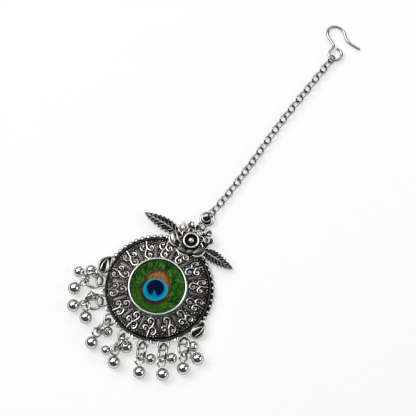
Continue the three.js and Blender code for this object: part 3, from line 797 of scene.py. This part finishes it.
class TikkaPlate(bpy.types.PropertyGroup):
    """Sizes of the round plate's details"""

    sides: IntProperty(
        name="Sides", description="Faces round the turned pieces", min=24, max=256, default=144)
    scroll_wire: FloatProperty(
        name="Scroll wire", description="Thickness of the scroll relief",
        subtype="DISTANCE", min=0.0002, max=0.001, default=0.0005)
    bar_width: FloatProperty(
        name="Bar width", description="Width of the flat bars between the scrolls",
        subtype="DISTANCE", min=0.0005, max=0.002, default=0.0012)


class TikkaPrint(bpy.types.PropertyGroup):
    """Colours and place of the printed feather"""

    turn: FloatProperty(
        name="Turn", description="Turn of the print from the piece's long axis",
        subtype="ANGLE", min=-pi, max=pi, default=radians(36))
    magnify: FloatProperty(
        name="Magnify", description="How much smaller the print is than it looks through the glass",
        min=0.5, max=3, default=1.048)
    shift: FloatVectorProperty(
        name="Shift",
        description="Place of the print's middle from the stone's, to the right and up in the picture",
        subtype="TRANSLATION", size=2, default=(0.00012, 0.00053))
    green: FloatVectorProperty(
        name="Green", description="Light green of the barbs", subtype="COLOR", min=0, max=1,
        default=(0.035, 0.14, 0.012))
    dark_green: FloatVectorProperty(
        name="Dark green", description="Dark green of the barbs", subtype="COLOR", min=0, max=1,
        default=(0.005, 0.035, 0.006))
    copper: FloatVectorProperty(
        name="Copper", description="Colour of the egg round the eye", subtype="COLOR", min=0, max=1,
        default=(0.34, 0.135, 0.035))
    blue: FloatVectorProperty(
        name="Blue", description="Colour of the ring round the eye", subtype="COLOR", min=0, max=1,
        default=(0.0, 0.17, 0.33))
    navy: FloatVectorProperty(
        name="Navy", description="Colour of the eye", subtype="COLOR", min=0, max=1,
        default=(0.005, 0.006, 0.04))


class TikkaStage(bpy.types.PropertyGroup):
    """Floor, lights and camera"""

    floor_color: FloatVectorProperty(
        name="Floor", description="Colour of the paper under the piece", subtype="COLOR", min=0, max=1,
        default=(0.46, 0.46, 0.46))
    # No lamp lies under the paper: its glow is painted light that lightens the shadows on it
    floor_painted_glow: FloatProperty(
        name="Floor glow", description="Light that comes through the paper from below",
        min=0, max=2, default=0.56)
    sky: FloatProperty(
        name="Surround", description="Brightness of the studio's walls", min=0, max=5, default=0.07)
    key: FloatProperty(
        name="Key light", description="Power of the light over the piece, in watts",
        unit="POWER", min=0, max=100, default=11.0)
    overhead: FloatProperty(
        name="Overhead light", description="Power of the soft light that flat silver mirrors, in watts",
        unit="POWER", min=0, max=100, default=2.4)
    azimuth: FloatProperty(
        name="Azimuth", description="Turn of the camera round the piece",
        subtype="ANGLE", min=-pi, max=pi, default=radians(36))
    elevation: FloatProperty(
        name="Elevation", description="Angle of the camera above the floor",
        subtype="ANGLE", min=0, max=pi / 2, default=radians(74))
    distance: FloatProperty(
        name="Distance", description="From the camera to the floor under the picture's middle",
        subtype="DISTANCE", min=0.1, max=5, default=0.7)
    width: FloatProperty(
        name="Picture width", description="Width of floor that the picture takes in",
        subtype="DISTANCE", min=0.05, max=1, default=0.14976)


class SceneSettings(bpy.types.PropertyGroup):
    """All settings of the tikka"""

    metal: PointerProperty(type=TikkaMetal, name="Metal", description="Silver finishes")
    plate: PointerProperty(type=TikkaPlate, name="Plate", description="Details of the plate")
    feather: PointerProperty(type=TikkaPrint, name="Feather", description="Printed feather")
    stage: PointerProperty(type=TikkaStage, name="Stage", description="Floor, lights and camera")


def settings():
    return bpy.context.scene.tikka


# Pieces


def plate_form(sides):
    """The domed plate between the bezel and the foot, with a turned groove and a hollow back."""
    return Form().turned((
        (AXIS_GAP, SEAT_HEIGHT), (BEZEL_INNER, SEAT_HEIGHT), (BEZEL_OUTER, SEAT_HEIGHT),
        *((radius, band_height(radius)) for radius in (12.3, 14.1, 16.0, BAND_OUTER - 0.12)),
        (BAND_OUTER, BAND_OUTER_HEIGHT - 0.12), (BAND_OUTER + 0.13, 2.78), (BAND_OUTER + 0.37, 2.7),
        (BORDER_INNER - 0.02, 2.8), (BORDER_INNER + 0.06, BORDER_HEIGHT), (PLATE_RADIUS - 0.2, BORDER_HEIGHT),
        (PLATE_RADIUS - 0.05, BORDER_HEIGHT - 0.1), (PLATE_RADIUS, BORDER_HEIGHT - 0.3), (PLATE_RADIUS, 0.15),
        (PLATE_RADIUS - 0.15, 0), (FOOT_INNER + 0.15, 0), (FOOT_INNER, 0.15),
        (FOOT_INNER, BAND_OUTER_HEIGHT - HOLLOW_DEPTH), (BEZEL_OUTER, SEAT_HEIGHT - HOLLOW_DEPTH),
        (AXIS_GAP, SEAT_HEIGHT - HOLLOW_DEPTH),
    ), sides)


def bezel_form(sides):
    """The plain wall round the stone, with a rounded lip."""
    middle = (BEZEL_INNER + BEZEL_OUTER) / 2
    half = (BEZEL_OUTER - BEZEL_INNER) / 2
    lip = [(middle + half * cos(t), BEZEL_TOP - half + half * sin(t))
           for t in (pi * k / 8 for k in range(9))]
    return Form().turned((
        (BEZEL_INNER, SEAT_HEIGHT), (BEZEL_OUTER + 0.35, SEAT_HEIGHT - 0.02),
        (BEZEL_OUTER + 0.1, SEAT_HEIGHT + 0.28), (BEZEL_OUTER, SEAT_HEIGHT + 0.6), *lip,
        (BEZEL_INNER, SEAT_HEIGHT),
    ), sides)


def motif_spins(offset=0):
    """A turn in plan for each motif of the band, or with half a step for each gap between two."""
    return [about_z(90 + 360 / MOTIFS * (k + offset)) for k in range(MOTIFS)]


def on_band(spin, out, side, rise):
    """A spot on the band, from shares of its width outwards and to the side, and a height over its slope."""
    reach = BAND_OUTER - BEZEL_OUTER
    spot = Vector((BEZEL_OUTER + out * reach, side * reach, 0))
    spot.z = band_height(spot.xy.length) + rise
    return spin @ spot


def scroll_form(wire):
    """Three curled wires to a motif, each ending in a bead."""
    form = Form()
    for spin in motif_spins():
        for points in SCROLLS:
            line = smooth_line([on_band(spin, out, side, wire * 0.36) for out, side in points], 6)
            form.wire(line, tapered(len(line), wire / 2, 0.9, 0.85), 8)
            form.ball(line[-1], (wire * 0.62, wire * 0.62, wire * 0.56), sides=12, rows=7)
    return form


def grain_form():
    """Small round grains on the ground between the scrolls."""
    form = Form()
    for k, spin in enumerate(motif_spins()):
        for number, (out, side) in enumerate(GRAINS):
            radius = 0.15 + 0.05 * ((number + k) % 3)
            spot = on_band(spin, out, side, radius * 0.3)
            form.ball(spot, (radius, radius, radius), sides=8, rows=5)
    return form


def bar_form(width):
    """Flat bars between the scrolls, from near the bezel to near the groove."""
    form = Form()
    half = width / 2
    for spin in motif_spins(0.5):
        rows = []
        for share, squeeze, rise in BAR_ROWS:
            radius = BAR_START + BAR_LENGTH * share
            rows.append([spin @ Vector((radius, side * half * squeeze * reach,
                                        band_height(radius) + min(rise, height)))
                         for side, reach, height in BAR_SECTION])
        form.grid(rows)
    return form


def flank_form(width):
    """Fine lines on both sides of each bar, and one across its outer end."""
    form = Form()
    reach = BAND_OUTER - BEZEL_OUTER
    away = (width / 2 + 0.36) / reach
    for spin in motif_spins(0.5):
        for side in (-1, 1):
            line = [on_band(spin, 0.06 + 0.8 * n / 8, side * (away + 0.02 * n / 8), 0.06) for n in range(9)]
            form.wire(line, [FLANK_RADIUS] * len(line), 6)
        across = [on_band(spin, 0.86, away * (n / 3 - 1), 0.06) for n in range(7)]
        form.wire(across, [FLANK_RADIUS] * len(across), 6)
    return form


def rope_form():
    """A fine twisted line along the inside of the border."""
    form = Form()
    for k in range(ROPE_STRANDS):
        angle = 360 / ROPE_STRANDS * k
        spot = plan(angle, ROPE_CIRCLE, BORDER_HEIGHT)
        form.ball(spot, (0.34, 0.2, 0.2), angle + ROPE_TWIST, sides=8, rows=5)
    return form


def bead_form():
    form = Form()
    for side in (-1, 1):
        for k in range(BEADS_PER_SIDE):
            spot = plan(90 + side * (BEAD_FIRST + k * BEAD_PITCH), BEAD_CIRCLE, BEAD_HEIGHT)
            form.ball(spot, (BEAD_RADIUS, BEAD_RADIUS, BEAD_RADIUS), sides=22, rows=14)
    return form


def ledge_form():
    """The dark ledge that the beads stand on, round the upper part of the plate."""
    span = BEAD_FIRST + (BEADS_PER_SIDE - 1) * BEAD_PITCH + 3
    rows = []
    for k in range(121):
        angle = 90 - span + 2 * span * k / 120
        rows.append([plan(angle, reach, height) for reach, height in
                     ((18.5, 0.3), (19.75, 0.3), (19.85, 0.45), (19.85, 0.85), (19.7, 1.0), (18.5, 1.0))])
    return Form().grid(rows)


def loop_angle(k):
    return 270 + (k - (LOOPS - 1) / 2) * LOOP_PITCH


def loop_form():
    """Cast loops along the lower edge."""
    form = Form()
    for k in range(LOOPS):
        form.ring(plan(loop_angle(k), LOOP_CIRCLE, LOOP_HEIGHT), *FLAT, LOOP_RADIUS, LOOP_WIRE, 44, 14)
    return form


def arch_form():
    """Small pointed arches between the loops, each on a flat pointed plate."""
    form = Form()
    for k in range(LOOPS - 1):
        angle = loop_angle(k + 0.5)
        spin = about_z(angle)
        line = smooth_line([(18.5, -1.0, 2.3), (19.15, -0.72, 2.35), (19.75, 0, 2.35), (19.15, 0.72, 2.35),
                            (18.5, 1.0, 2.3)], 6)
        line = [spin @ p for p in line]
        form.wire(line, tapered(len(line), 0.26, 1, 1), 8)
        outline = [spin @ Vector(p) for p in ((18.3, -1.0, 0), (19.1, -0.8, 0), (19.65, 0, 0), (19.1, 0.8, 0),
                                              (18.3, 1.0, 0))]
        form.slab([(p.x, p.y) for p in outline], 1.3, 2.3, 0.05)
    return form


def mango_outline(inset, count=40):
    corners = []
    for angle in circle(count):
        up = max(0.0, sin(angle))
        x = (LUG_WIDTH / 2 - inset) * cos(angle) * (1 - LUG_TAPER * up) + LUG_TIP * up ** 3
        corners.append((x, (LUG_LENGTH / 2 - inset) * sin(angle)))
    return corners


def lug_matrix(side):
    """Places a lug that is drawn for the left side, and mirrors it for the right."""
    angle = 90 - side * LUG_ANGLE
    spin = about_z(angle if side > 0 else angle - 180, 4)
    mirror = Matrix.Diagonal((-side, 1, 1, 1))
    return Matrix.Translation(plan(angle, LUG_REACH)) @ spin @ mirror


def lug_plate_form():
    form = Form()
    for side in (-1, 1):
        start = len(form.spots)
        form.slab(mango_outline(0.25), LUG_BOTTOM, LUG_TOP - 0.9, 0.1)
        form.moved(lug_matrix(side), start)
    return form


def lug_rim_form():
    """The raised rim of each lug, its curled tip, the bright petal in it and the small bar beside that."""
    form = Form()
    for side in (-1, 1):
        start = len(form.spots)
        rim = [Vector((x, y, 0)) for x, y in mango_outline(LUG_RIM)]
        rows = []
        for k, spot in enumerate(rim):
            ahead = (rim[(k + 1) % len(rim)] - rim[k - 1]).normalized()
            out = Vector((ahead.y, -ahead.x, 0))
            rows.append([
                spot + out * LUG_RIM * cos(t)
                + Vector((0, 0, LUG_TOP - 0.6 + (0.7 if sin(t) > 0 else 1.2) * sin(t)))
                for t in circle(12)
            ])
        form.grid(rows, closed_rows=True)
        form.strand([(LUG_TIP - 0.5, 3.0, 2.2), (LUG_TIP - 0.15, 3.55, 2.3), (LUG_TIP + 0.2, 3.75, 2.25),
                     (LUG_TIP + 0.3, 3.4, 2.2)], 6, 10, 0.3, 0.9, 0.7)
        petal = smooth_line([(1.1, -2.2, 2.1), (1.3, -1.1, 2.2), (0.9, 0.4, 2.25), (0.1, 1.9, 2.2)], 7)
        form.wire(petal, [0.12 + 0.4 * sin(pi * k / (len(petal) - 1)) for k in range(len(petal))], 12)
        form.strand([(-0.6, -2.4, 2.1), (-0.9, -0.9, 2.15), (-0.8, 0.6, 2.15), (-0.2, 2.2, 2.1)],
                    6, 8, 0.2, 0.6, 0.6)
        form.moved(lug_matrix(side), start)
    return form


def on_crest(x, y, z):
    """A spot of the crest's ornament, from its place round the boss."""
    return Vector((CREST_X, CREST_Y, 0)) + about_z(CREST_TURN) @ Vector((x, y, z))


def crest_back_form():
    """The foot, the fluted oval backing and the neck of the crest."""
    form = Form()
    form.turned(((AXIS_GAP, 0), (CREST_FOOT - 0.1, 0), (CREST_FOOT, 0.1), (CREST_FOOT, 3.3),
                 (AXIS_GAP, 3.4)), 48, (CREST_X, CREST_Y))
    rows = []
    for share, height in CREST_DOME:
        row = []
        for turn in circle(192):
            wave = cos(FLUTES * turn)
            flute = 0.16 * wave * sin(pi * min(1, 1.15 - share))
            edge = 1 + 0.02 * wave
            row.append((CREST_X + CREST_HALF_WIDTH * share * edge * cos(turn),
                        CREST_Y + share + CREST_HALF_DEPTH * share * edge * sin(turn), height + flute))
        rows.append(row)
    form.grid(rows)
    neck = [(TOP_LOOP[0] + x, y) for x, y in ((-1.6, CREST_Y), (1.6, CREST_Y), (1.6, 28.6), (1.0, 29.1),
                                              (-1.0, 29.1), (-1.6, 28.6))]
    form.slab(neck, LINK_HEIGHT - TOP_LOOP_WIRE / 2, 1.9, 0.15)
    return form


def boss_form():
    """The cup that the ring and the ball sit in."""
    return Form().turned((
        (AXIS_GAP, 2.9), (BOSS_RADIUS + 0.33, 2.9), (BOSS_RADIUS + 0.1, 4.0), (BOSS_RADIUS, BOSS_HEIGHT),
        (BOSS_RADIUS - 0.33, BOSS_HEIGHT), (1.9, 4.1), (AXIS_GAP, 4.1),
    ), 48, (CREST_X, CREST_Y))


def boss_bright_form():
    form = Form()
    spot = Vector((CREST_X, CREST_Y, BOSS_HEIGHT))
    form.ring(spot, *FLAT, BOSS_RADIUS, BOSS_WIRE, 48, 12)
    form.ball(spot - Vector((0, 0, BOSS_WIRE / 2)), (BOSS_BALL, BOSS_BALL, BOSS_BALL), sides=24, rows=16)
    return form


def add_petals(form, petals, sides, rows):
    for x, y, length, width, thick, turn, height in petals:
        form.ball(on_crest(x, y, height), (length / 2, width / 2, thick / 2), turn + CREST_TURN, sides, rows)
    return form


def petal_form():
    return add_petals(Form(), PETALS, 28, 16)


def crest_line_form():
    """Bright rims of the petals, curled rings and rows of grains."""
    form = Form()
    for thick, *points in CREST_LINES:
        line = smooth_line([on_crest(*point) for point in points], 7)
        radii = [thick / 2 * (0.35 + 0.65 * sin(pi * k / (len(line) - 1)) ** 0.7) for k in range(len(line))]
        form.wire(line, radii, 10)
    add_petals(form, BRIGHT_PETALS, 24, 14)
    for x, y, z, radius in CREST_RINGS:
        form.ring(on_crest(x, y, z), *FLAT, radius, 0.36, 28, 8)
    for k in range(9):
        turn = 40 * k + 10
        form.strand([on_crest(*(about_z(turn + side) @ Vector((away, 0, 4.0))))
                     for side, away in ((-17, 3.5), (-9, 4.3), (0, 4.6), (9, 4.3), (17, 3.5))],
                    4, 8, 0.19, 0.6, 0.6)
    for k in range(30):
        turn = 12 * k
        radius = 0.17 + 0.05 * (k % 2)
        form.ball(on_crest(3.55 * cos(radians(turn)), 3.45 * sin(radians(turn)), 3.42),
                  (radius, radius, radius), sides=8, rows=5)
    for k in range(26):
        turn = 360 / 26 * k
        spot = Vector((CREST_X + 5.0 * cos(radians(turn)), CREST_Y + 1 + 4.1 * sin(radians(turn)),
                       2.75))
        form.ball(spot, (0.24, 0.24, 0.24), sides=8, rows=5)
    return form


def leaf_half_width(share):
    return LEAF_WIDTH / 2 * sin(pi * share ** LEAF_FULLNESS) ** LEAF_FULLNESS


def leaf_spot(leaf, share, across, rise):
    """A spot on a leaf: share of its length, share of its half width, and height over its lower face."""
    side, root, length, bend = leaf
    teeth = (share * (LEAF_TEETH + 1) + 0.4) % 1.0
    notch = TOOTH_DEPTH * (1 - teeth) * sin(pi * share)
    width = max(0.04, leaf_half_width(min(share, 0.999)) - notch)
    curl = 0.5 * max(0.0, share - 0.8) / 0.2
    return Vector((CREST_X + side * (root + share * length),
                   CREST_Y + across * width - bend * share * share + curl * curl,
                   LEAF_LIFT + LEAF_ARCH * sin(pi * share) + rise))


def leaf_form():
    """Two toothed leaves, arched along their length and a little hollow on each side of the midrib."""
    form = Form()
    steps, half_steps = 96, 6
    for leaf in LEAVES:
        rows = []
        for k in range(steps + 1):
            share = k / steps
            row = []
            for c in range(-half_steps, half_steps + 1):
                across = c / half_steps
                thick = LEAF_THICKNESS - 0.3 + 0.2 * across * across
                row.append(leaf_spot(leaf, share, across, thick))
            row += [leaf_spot(leaf, share, -c / half_steps, 0.0) for c in range(-half_steps, half_steps + 1)]
            rows.append(row)
        form.grid(rows)
    return form


def leaf_line_form():
    """Midribs, side veins and bright edges of the leaves."""
    form = Form()
    top = LEAF_THICKNESS - 0.2
    for leaf in LEAVES:
        rib = [leaf_spot(leaf, k / 40, 0, top) for k in range(41)]
        form.wire(rib, [0.27 - 0.17 * k / 40 for k in range(41)], 8)
        for edge in (-1, 1):
            line = [leaf_spot(leaf, k / 90, edge * 0.97, top + 0.06) for k in range(4, 91)]
            form.wire(line, tapered(len(line), 0.12, 0.5, 0.6), 6)
            for n in range(1, LEAF_TEETH + 1):
                share = (n - 0.6) / (LEAF_TEETH + 1)
                vein = [
                    leaf_spot(leaf, min(0.99, share + 0.1 * t / 5), edge * (0.1 + 0.78 * t / 5), top - 0.02)
                    for t in range(6)
                ]
                form.wire(vein, [0.1 - 0.008 * t for t in range(6)], 6)
    return form


def top_loop_form():
    """The loop for the chain, with a curl that runs into it from the crest's side."""
    spot = Vector((*TOP_LOOP, LINK_HEIGHT))
    form = Form().ring(spot, *FLAT, TOP_LOOP_RADIUS, TOP_LOOP_WIRE, 48, 14)
    curl = [spot + plan(angle, radius) + Vector((0, 0, 0.1)) for angle, radius in (
        (175, 2.2), (215, 1.75), (260, 1.35), (310, 1.05), (10, 0.85))]
    return form.strand(curl, 8, 10, 0.34, 1.0, 0.6, 0.5)


def top_oxide_and_shade_cup_form():
    """The dark cup in the top loop, nearer to the crest than to the chain: the loop's oxidised inside, and
    painted shade in place of the floor that would show through the hole.
    """
    low = LINK_HEIGHT - TOP_LOOP_WIRE / 2 - 0.3
    return Form().turned((
        (AXIS_GAP, low), (1.65, low), (1.65, low + 0.2), (1.5, low + 0.3), (AXIS_GAP, low + 0.2),
    ), 36, (TOP_LOOP[0], TOP_LOOP[1] - 0.5))


def glass_form():
    rim = [(GLASS_RADIUS * cos(t), GLASS_BOTTOM + GLASS_GIRDLE + (GLASS_HEIGHT - GLASS_GIRDLE) * sin(t))
           for t in (pi / 2 * k / 10 for k in range(10))]
    return Form().turned((
        (AXIS_GAP, GLASS_BOTTOM), (GLASS_RADIUS - 0.15, GLASS_BOTTOM), (GLASS_RADIUS, GLASS_BOTTOM + 0.15),
        *rim, (AXIS_GAP, GLASS_BOTTOM + GLASS_HEIGHT),
    ), 56)


def card_form():
    return Form().turned((
        (AXIS_GAP, CARD_BOTTOM), (GLASS_RADIUS, CARD_BOTTOM), (GLASS_RADIUS, CARD_TOP), (AXIS_GAP, CARD_TOP),
    ), 96)


def chain_spots():
    """The middles of the links, and the last one's distance along."""
    run = (LINKS - 1) * LINK_PITCH
    clear = (LINK_WIRE + TOP_LOOP_WIRE) / 2 + CHAIN_GAP
    first = TOP_LOOP[1] + TOP_LOOP_RADIUS - clear + (LINK_LENGTH - LINK_WIRE) / 2
    route = [(drift * LINK_LENGTH, first + share * run, LINK_HEIGHT) for share, drift in CHAIN_ROUTE]
    line = smooth_line(route, 60)
    spots = []
    for k in range(LINKS):
        y = first + run * k / (LINKS - 1)
        spots.append(min(line, key=lambda p: abs(p.y - y)))
    return spots


def chain_form():
    form = Form()
    spots = chain_spots()
    for k, spot in enumerate(spots):
        along = (spots[min(k + 1, LINKS - 1)] - spots[max(k - 1, 0)]).normalized()
        flat = Vector((along.y, -along.x, 0))
        roll = LINK_ROLL if k % 2 == 0 else LINK_ROLL - 90
        side = Matrix.Rotation(radians(roll), 3, along) @ flat
        form.ring(spot, along, side, (LINK_WIDTH - LINK_WIRE) / 2, LINK_WIRE, 36, 12,
                  stretch=(LINK_LENGTH - LINK_WIDTH) / 2)
    return form


def hook_form():
    last = chain_spots()[-1]
    far_wire = last.y + (LINK_LENGTH - LINK_WIRE) / 2
    eye_y = far_wire - (LINK_WIRE + HOOK_WIRE) / 2 - CHAIN_GAP + EYE_RADIUS
    slope = (LINK_HEIGHT - HOOK_WIRE / 2) / HOOK_LENGTH
    points = [plan(110 - 25 * k, EYE_RADIUS).to_2d() for k in range(13)]
    points += [Vector((x * HOOK_WIDTH, y * HOOK_LENGTH)) for x, y in HOOK_ROUTE]
    line = smooth_line([(last.x + p.x, eye_y + p.y, LINK_HEIGHT - slope * max(p.y, 0)) for p in points], 6)
    return Form().wire(line, [HOOK_WIRE / 2] * len(line), 14)


def jump_frame(number):
    """Middle of a jump ring and the two directions in its plane."""
    heading, lean, reach = JUMP_RINGS[number - 1]
    ahead = plan(heading)
    across = plan(heading + 90) * cos(radians(lean))
    across.z = sin(radians(lean))
    middle = plan(loop_angle(number - 1), LOOP_CIRCLE) + ahead * reach * JUMP_RADIUS
    middle.z = JUMP_WIRE / 2 + JUMP_RADIUS * abs(across.z)
    return ahead, across, middle


def drop_form(number, seat, heading, size):
    """A ball with a collar and a round eyelet."""
    ball, eye, wire, neck = DROP_SIZES[size]
    ahead, across, middle = jump_frame(number)
    onward, aside = cos(radians(seat)), sin(radians(seat))
    rest = middle + (ahead * onward + across * aside) * JUMP_RADIUS
    tangent = across * onward - ahead * aside
    slack = eye - (wire + JUMP_WIRE) / 2 - SEAT_GAP
    reach = slack + eye + neck + ball
    fall = max(-1.0, min(1.0, (rest.z - ball) / reach))
    away = plan(heading) * sqrt(1 - fall * fall)
    away.z = -fall
    spot = rest + away * reach
    normal = (tangent - away * tangent.dot(away)).normalized()
    side = away.cross(normal)
    form = Form()
    form.ball(spot, (ball, ball, ball), sides=40, rows=26)
    form.ring(rest + away * slack, away, side, eye, wire, 40, 12)
    form.ring(spot - away * (ball * 0.97), side, normal, 0.42, 0.36, 20, 8)
    return form


# Operators


class TIKKA_OT_finishes(bpy.types.Operator):
    """Make the silver, glass, print and paper finishes"""

    bl_idname = "tikka.finishes"
    bl_label = "Finishes"

    def execute(self, context):
        metal = settings().metal
        bright, oxide = tuple(metal.bright), tuple(metal.oxide)
        oxide_and_shade_group()
        wear_group()
        for name, tone, *values in FINISHES:
            silver(name, tuple(tone * part for part in bright), oxide, *values)
        glass()
        feather_print(settings().feather)
        studio_white(settings().stage)
        return {"FINISHED"}


class TIKKA_OT_plate(bpy.types.Operator):
    """Make the round plate with its bezel, scrolls, bars and border"""

    bl_idname = "tikka.plate"
    bl_label = "Plate"

    def execute(self, context):
        plate = settings().plate
        cast("plate", plate_form(plate.sides), "Oxidised ground")
        cast("bezel", bezel_form(plate.sides), "Bezel silver")
        cast("scrolls", scroll_form(plate.scroll_wire / MM), "Line silver")
        cast("bars", bar_form(plate.bar_width / MM), "Bar silver")
        cast("bar_lines", flank_form(plate.bar_width / MM), "Petal silver")
        cast("grains", grain_form(), "Line silver")
        cast("border", rope_form(), "Petal silver")
        return {"FINISHED"}


class TIKKA_OT_edge(bpy.types.Operator):
    """Make the beads, cast loops, arches and side lugs"""

    bl_idname = "tikka.edge"
    bl_label = "Edge"

    def execute(self, context):
        cast("beads", bead_form(), "Bead silver")
        cast("ledge", ledge_form(), "Leaf ground")
        cast("loops", loop_form(), "Wire silver")
        cast("arches", arch_form(), "Bead silver")
        cast("lug_plates", lug_plate_form(), "Leaf ground")
        cast("lug_rims", lug_rim_form(), "Line silver")
        return {"FINISHED"}


class TIKKA_OT_crest(bpy.types.Operator):
    """Make the flower crest, its leaves and the top loop"""

    bl_idname = "tikka.crest"
    bl_label = "Crest"

    def execute(self, context):
        cast("crest_back", crest_back_form(), "Oxidised ground")
        cast("boss_cup", boss_form(), "Leaf ground")
        cast("boss", boss_bright_form(), "Line silver")
        cast("petals", petal_form(), "Petal silver")
        cast("petal_rims", crest_line_form(), "Line silver")
        cast("leaves", leaf_form(), "Leaf ground")
        cast("leaf_ribs", leaf_line_form(), "Line silver")
        cast("top_loop", top_loop_form(), "Wire silver")
        # Dark cup under the top loop's hole: oxide, and painted shade in place of the shaded floor seen
        # through it
        cast("top_oxide_and_shade_cup", top_oxide_and_shade_cup_form(), "Leaf ground")
        return {"FINISHED"}


class TIKKA_OT_stone(bpy.types.Operator):
    """Make the glass stone and the print under it"""

    bl_idname = "tikka.stone"
    bl_label = "Stone"

    def execute(self, context):
        make_piece("stone", glass_form(), "Stone glass", "glass", "cabochon", sharp=60)
        make_piece("print", card_form(), "Feather print", "print", "feather_card")
        return {"FINISHED"}


class TIKKA_OT_chain(bpy.types.Operator):
    """Make the chain and the hook"""

    bl_idname = "tikka.chain"
    bl_label = "Chain and hook"

    def execute(self, context):
        make_piece("chain_links", chain_form(), "Wire silver", "bright_silver", "chain")
        make_piece("hair_hook", hook_form(), "Wire silver", "bright_silver", "hook")
        return {"FINISHED"}


class TIKKA_OT_fringe(bpy.types.Operator):
    """Make the jump rings and the ball drops"""

    bl_idname = "tikka.fringe"
    bl_label = "Fringe"

    def execute(self, context):
        for number in range(1, LOOPS + 1):
            ahead, across, middle = jump_frame(number)
            form = Form().ring(middle, ahead, across, JUMP_RADIUS, JUMP_WIRE, 56, 14)
            make_piece(f"ring_{number}", form, "Wire silver", "bright_silver", f"jump_ring_{number}")
        for index, (number, seat, heading, size) in enumerate(DROPS, 1):
            form = drop_form(number, seat, heading, size)
            make_piece(f"ball_{number}_{index}", form, "Ball silver", "bright_silver",
                       f"drop_{number}_{index}")
        return {"FINISHED"}


def area_light(name, power, size, spot, target):
    data = bpy.data.lights.new(name, "AREA")
    data.shape = "RECTANGLE"
    data.energy = power
    data.size, data.size_y = size
    lamp = bpy.data.objects.new(name, data)
    lamp.location = spot
    lamp.rotation_mode = "QUATERNION"
    lamp.rotation_quaternion = (Vector(target) - Vector(spot)).to_track_quat("-Z", "Y")
    bpy.context.scene.collection.objects.link(lamp)


class TIKKA_OT_stage(bpy.types.Operator):
    """Make the floor, the lights and the camera"""

    bl_idname = "tikka.stage"
    bl_label = "Stage"

    def execute(self, context):
        stage = settings().stage
        scene = context.scene
        mesh = bpy.data.meshes.new("floor")
        corners = [(x * FLOOR_HALF, y * FLOOR_HALF, 0) for x, y in ((-1, -1), (1, -1), (1, 1), (-1, 1))]
        mesh.from_pydata(corners, [], [(0, 1, 2, 3)])
        mesh.materials.append(bpy.data.materials["Studio paper"])
        floor = bpy.data.objects.new("floor", mesh)
        floor.location.z = -FLOOR_DROP
        scene.collection.objects.link(floor)
        world = bpy.data.worlds.new("Studio walls")
        world.use_nodes = True
        world.node_tree.nodes["Background"].inputs[0].default_value = (1, 1, 1, 1)
        world.node_tree.nodes["Background"].inputs[1].default_value = stage.sky
        scene.world = world
        look = Vector((AXIS.x + PICTURE_MIDDLE[0] * MM, AXIS.y + PICTURE_MIDDLE[1] * MM, 0))
        around, rise = stage.azimuth, stage.elevation
        back = Vector((sin(around) * cos(rise), -cos(around) * cos(rise), sin(rise)))
        right = Vector((cos(around), sin(around), 0))
        up = back.cross(right)
        for name, setting, share, size, (aside, above, away) in LIGHTS:
            spot = look + right * aside + up * above + back * away
            area_light(name, getattr(stage, setting) * share, size, spot, look)
        data = bpy.data.cameras.new("camera")
        data.sensor_width = 36.0
        data.lens = data.sensor_width * stage.distance / stage.width
        data.clip_start, data.clip_end = 0.01, 10.0
        camera = bpy.data.objects.new("camera", data)
        camera.location = look + back * stage.distance
        camera.rotation_mode = "QUATERNION"
        camera.rotation_quaternion = (-back).to_track_quat("-Z", "Y")
        scene.collection.objects.link(camera)
        scene.camera = camera
        scene.view_settings.view_transform = "Standard"
        return {"FINISHED"}


STEPS = (
    TIKKA_OT_finishes, TIKKA_OT_plate, TIKKA_OT_edge, TIKKA_OT_crest, TIKKA_OT_stone, TIKKA_OT_chain,
    TIKKA_OT_fringe, TIKKA_OT_stage,
)


class TIKKA_PT_sidebar(bpy.types.Panel):
    """The tikka's settings and making steps"""

    bl_idname = "TIKKA_PT_sidebar"
    bl_label = "Maang tikka"
    bl_space_type = "VIEW_3D"
    bl_region_type = "UI"
    bl_category = "Tikka"

    def draw(self, context):
        for group in (settings().metal, settings().plate, settings().feather, settings().stage):
            box = self.layout.box()
            for key in group.__annotations__:
                box.prop(group, key)
        for step in STEPS:
            self.layout.operator(step.bl_idname)


CLASSES = (TikkaMetal, TikkaPlate, TikkaPrint, TikkaStage, SceneSettings, *STEPS, TIKKA_PT_sidebar)


def register():
    for item in CLASSES:
        bpy.utils.register_class(item)
    bpy.types.Scene.tikka = PointerProperty(type=SceneSettings)


def unregister():
    del bpy.types.Scene.tikka
    for item in reversed(CLASSES):
        bpy.utils.unregister_class(item)


def main():
    register()
    for step in STEPS:
        group, name = step.bl_idname.split(".")
        getattr(getattr(bpy.ops, group), name)()


if __name__ == "__main__":
    main()
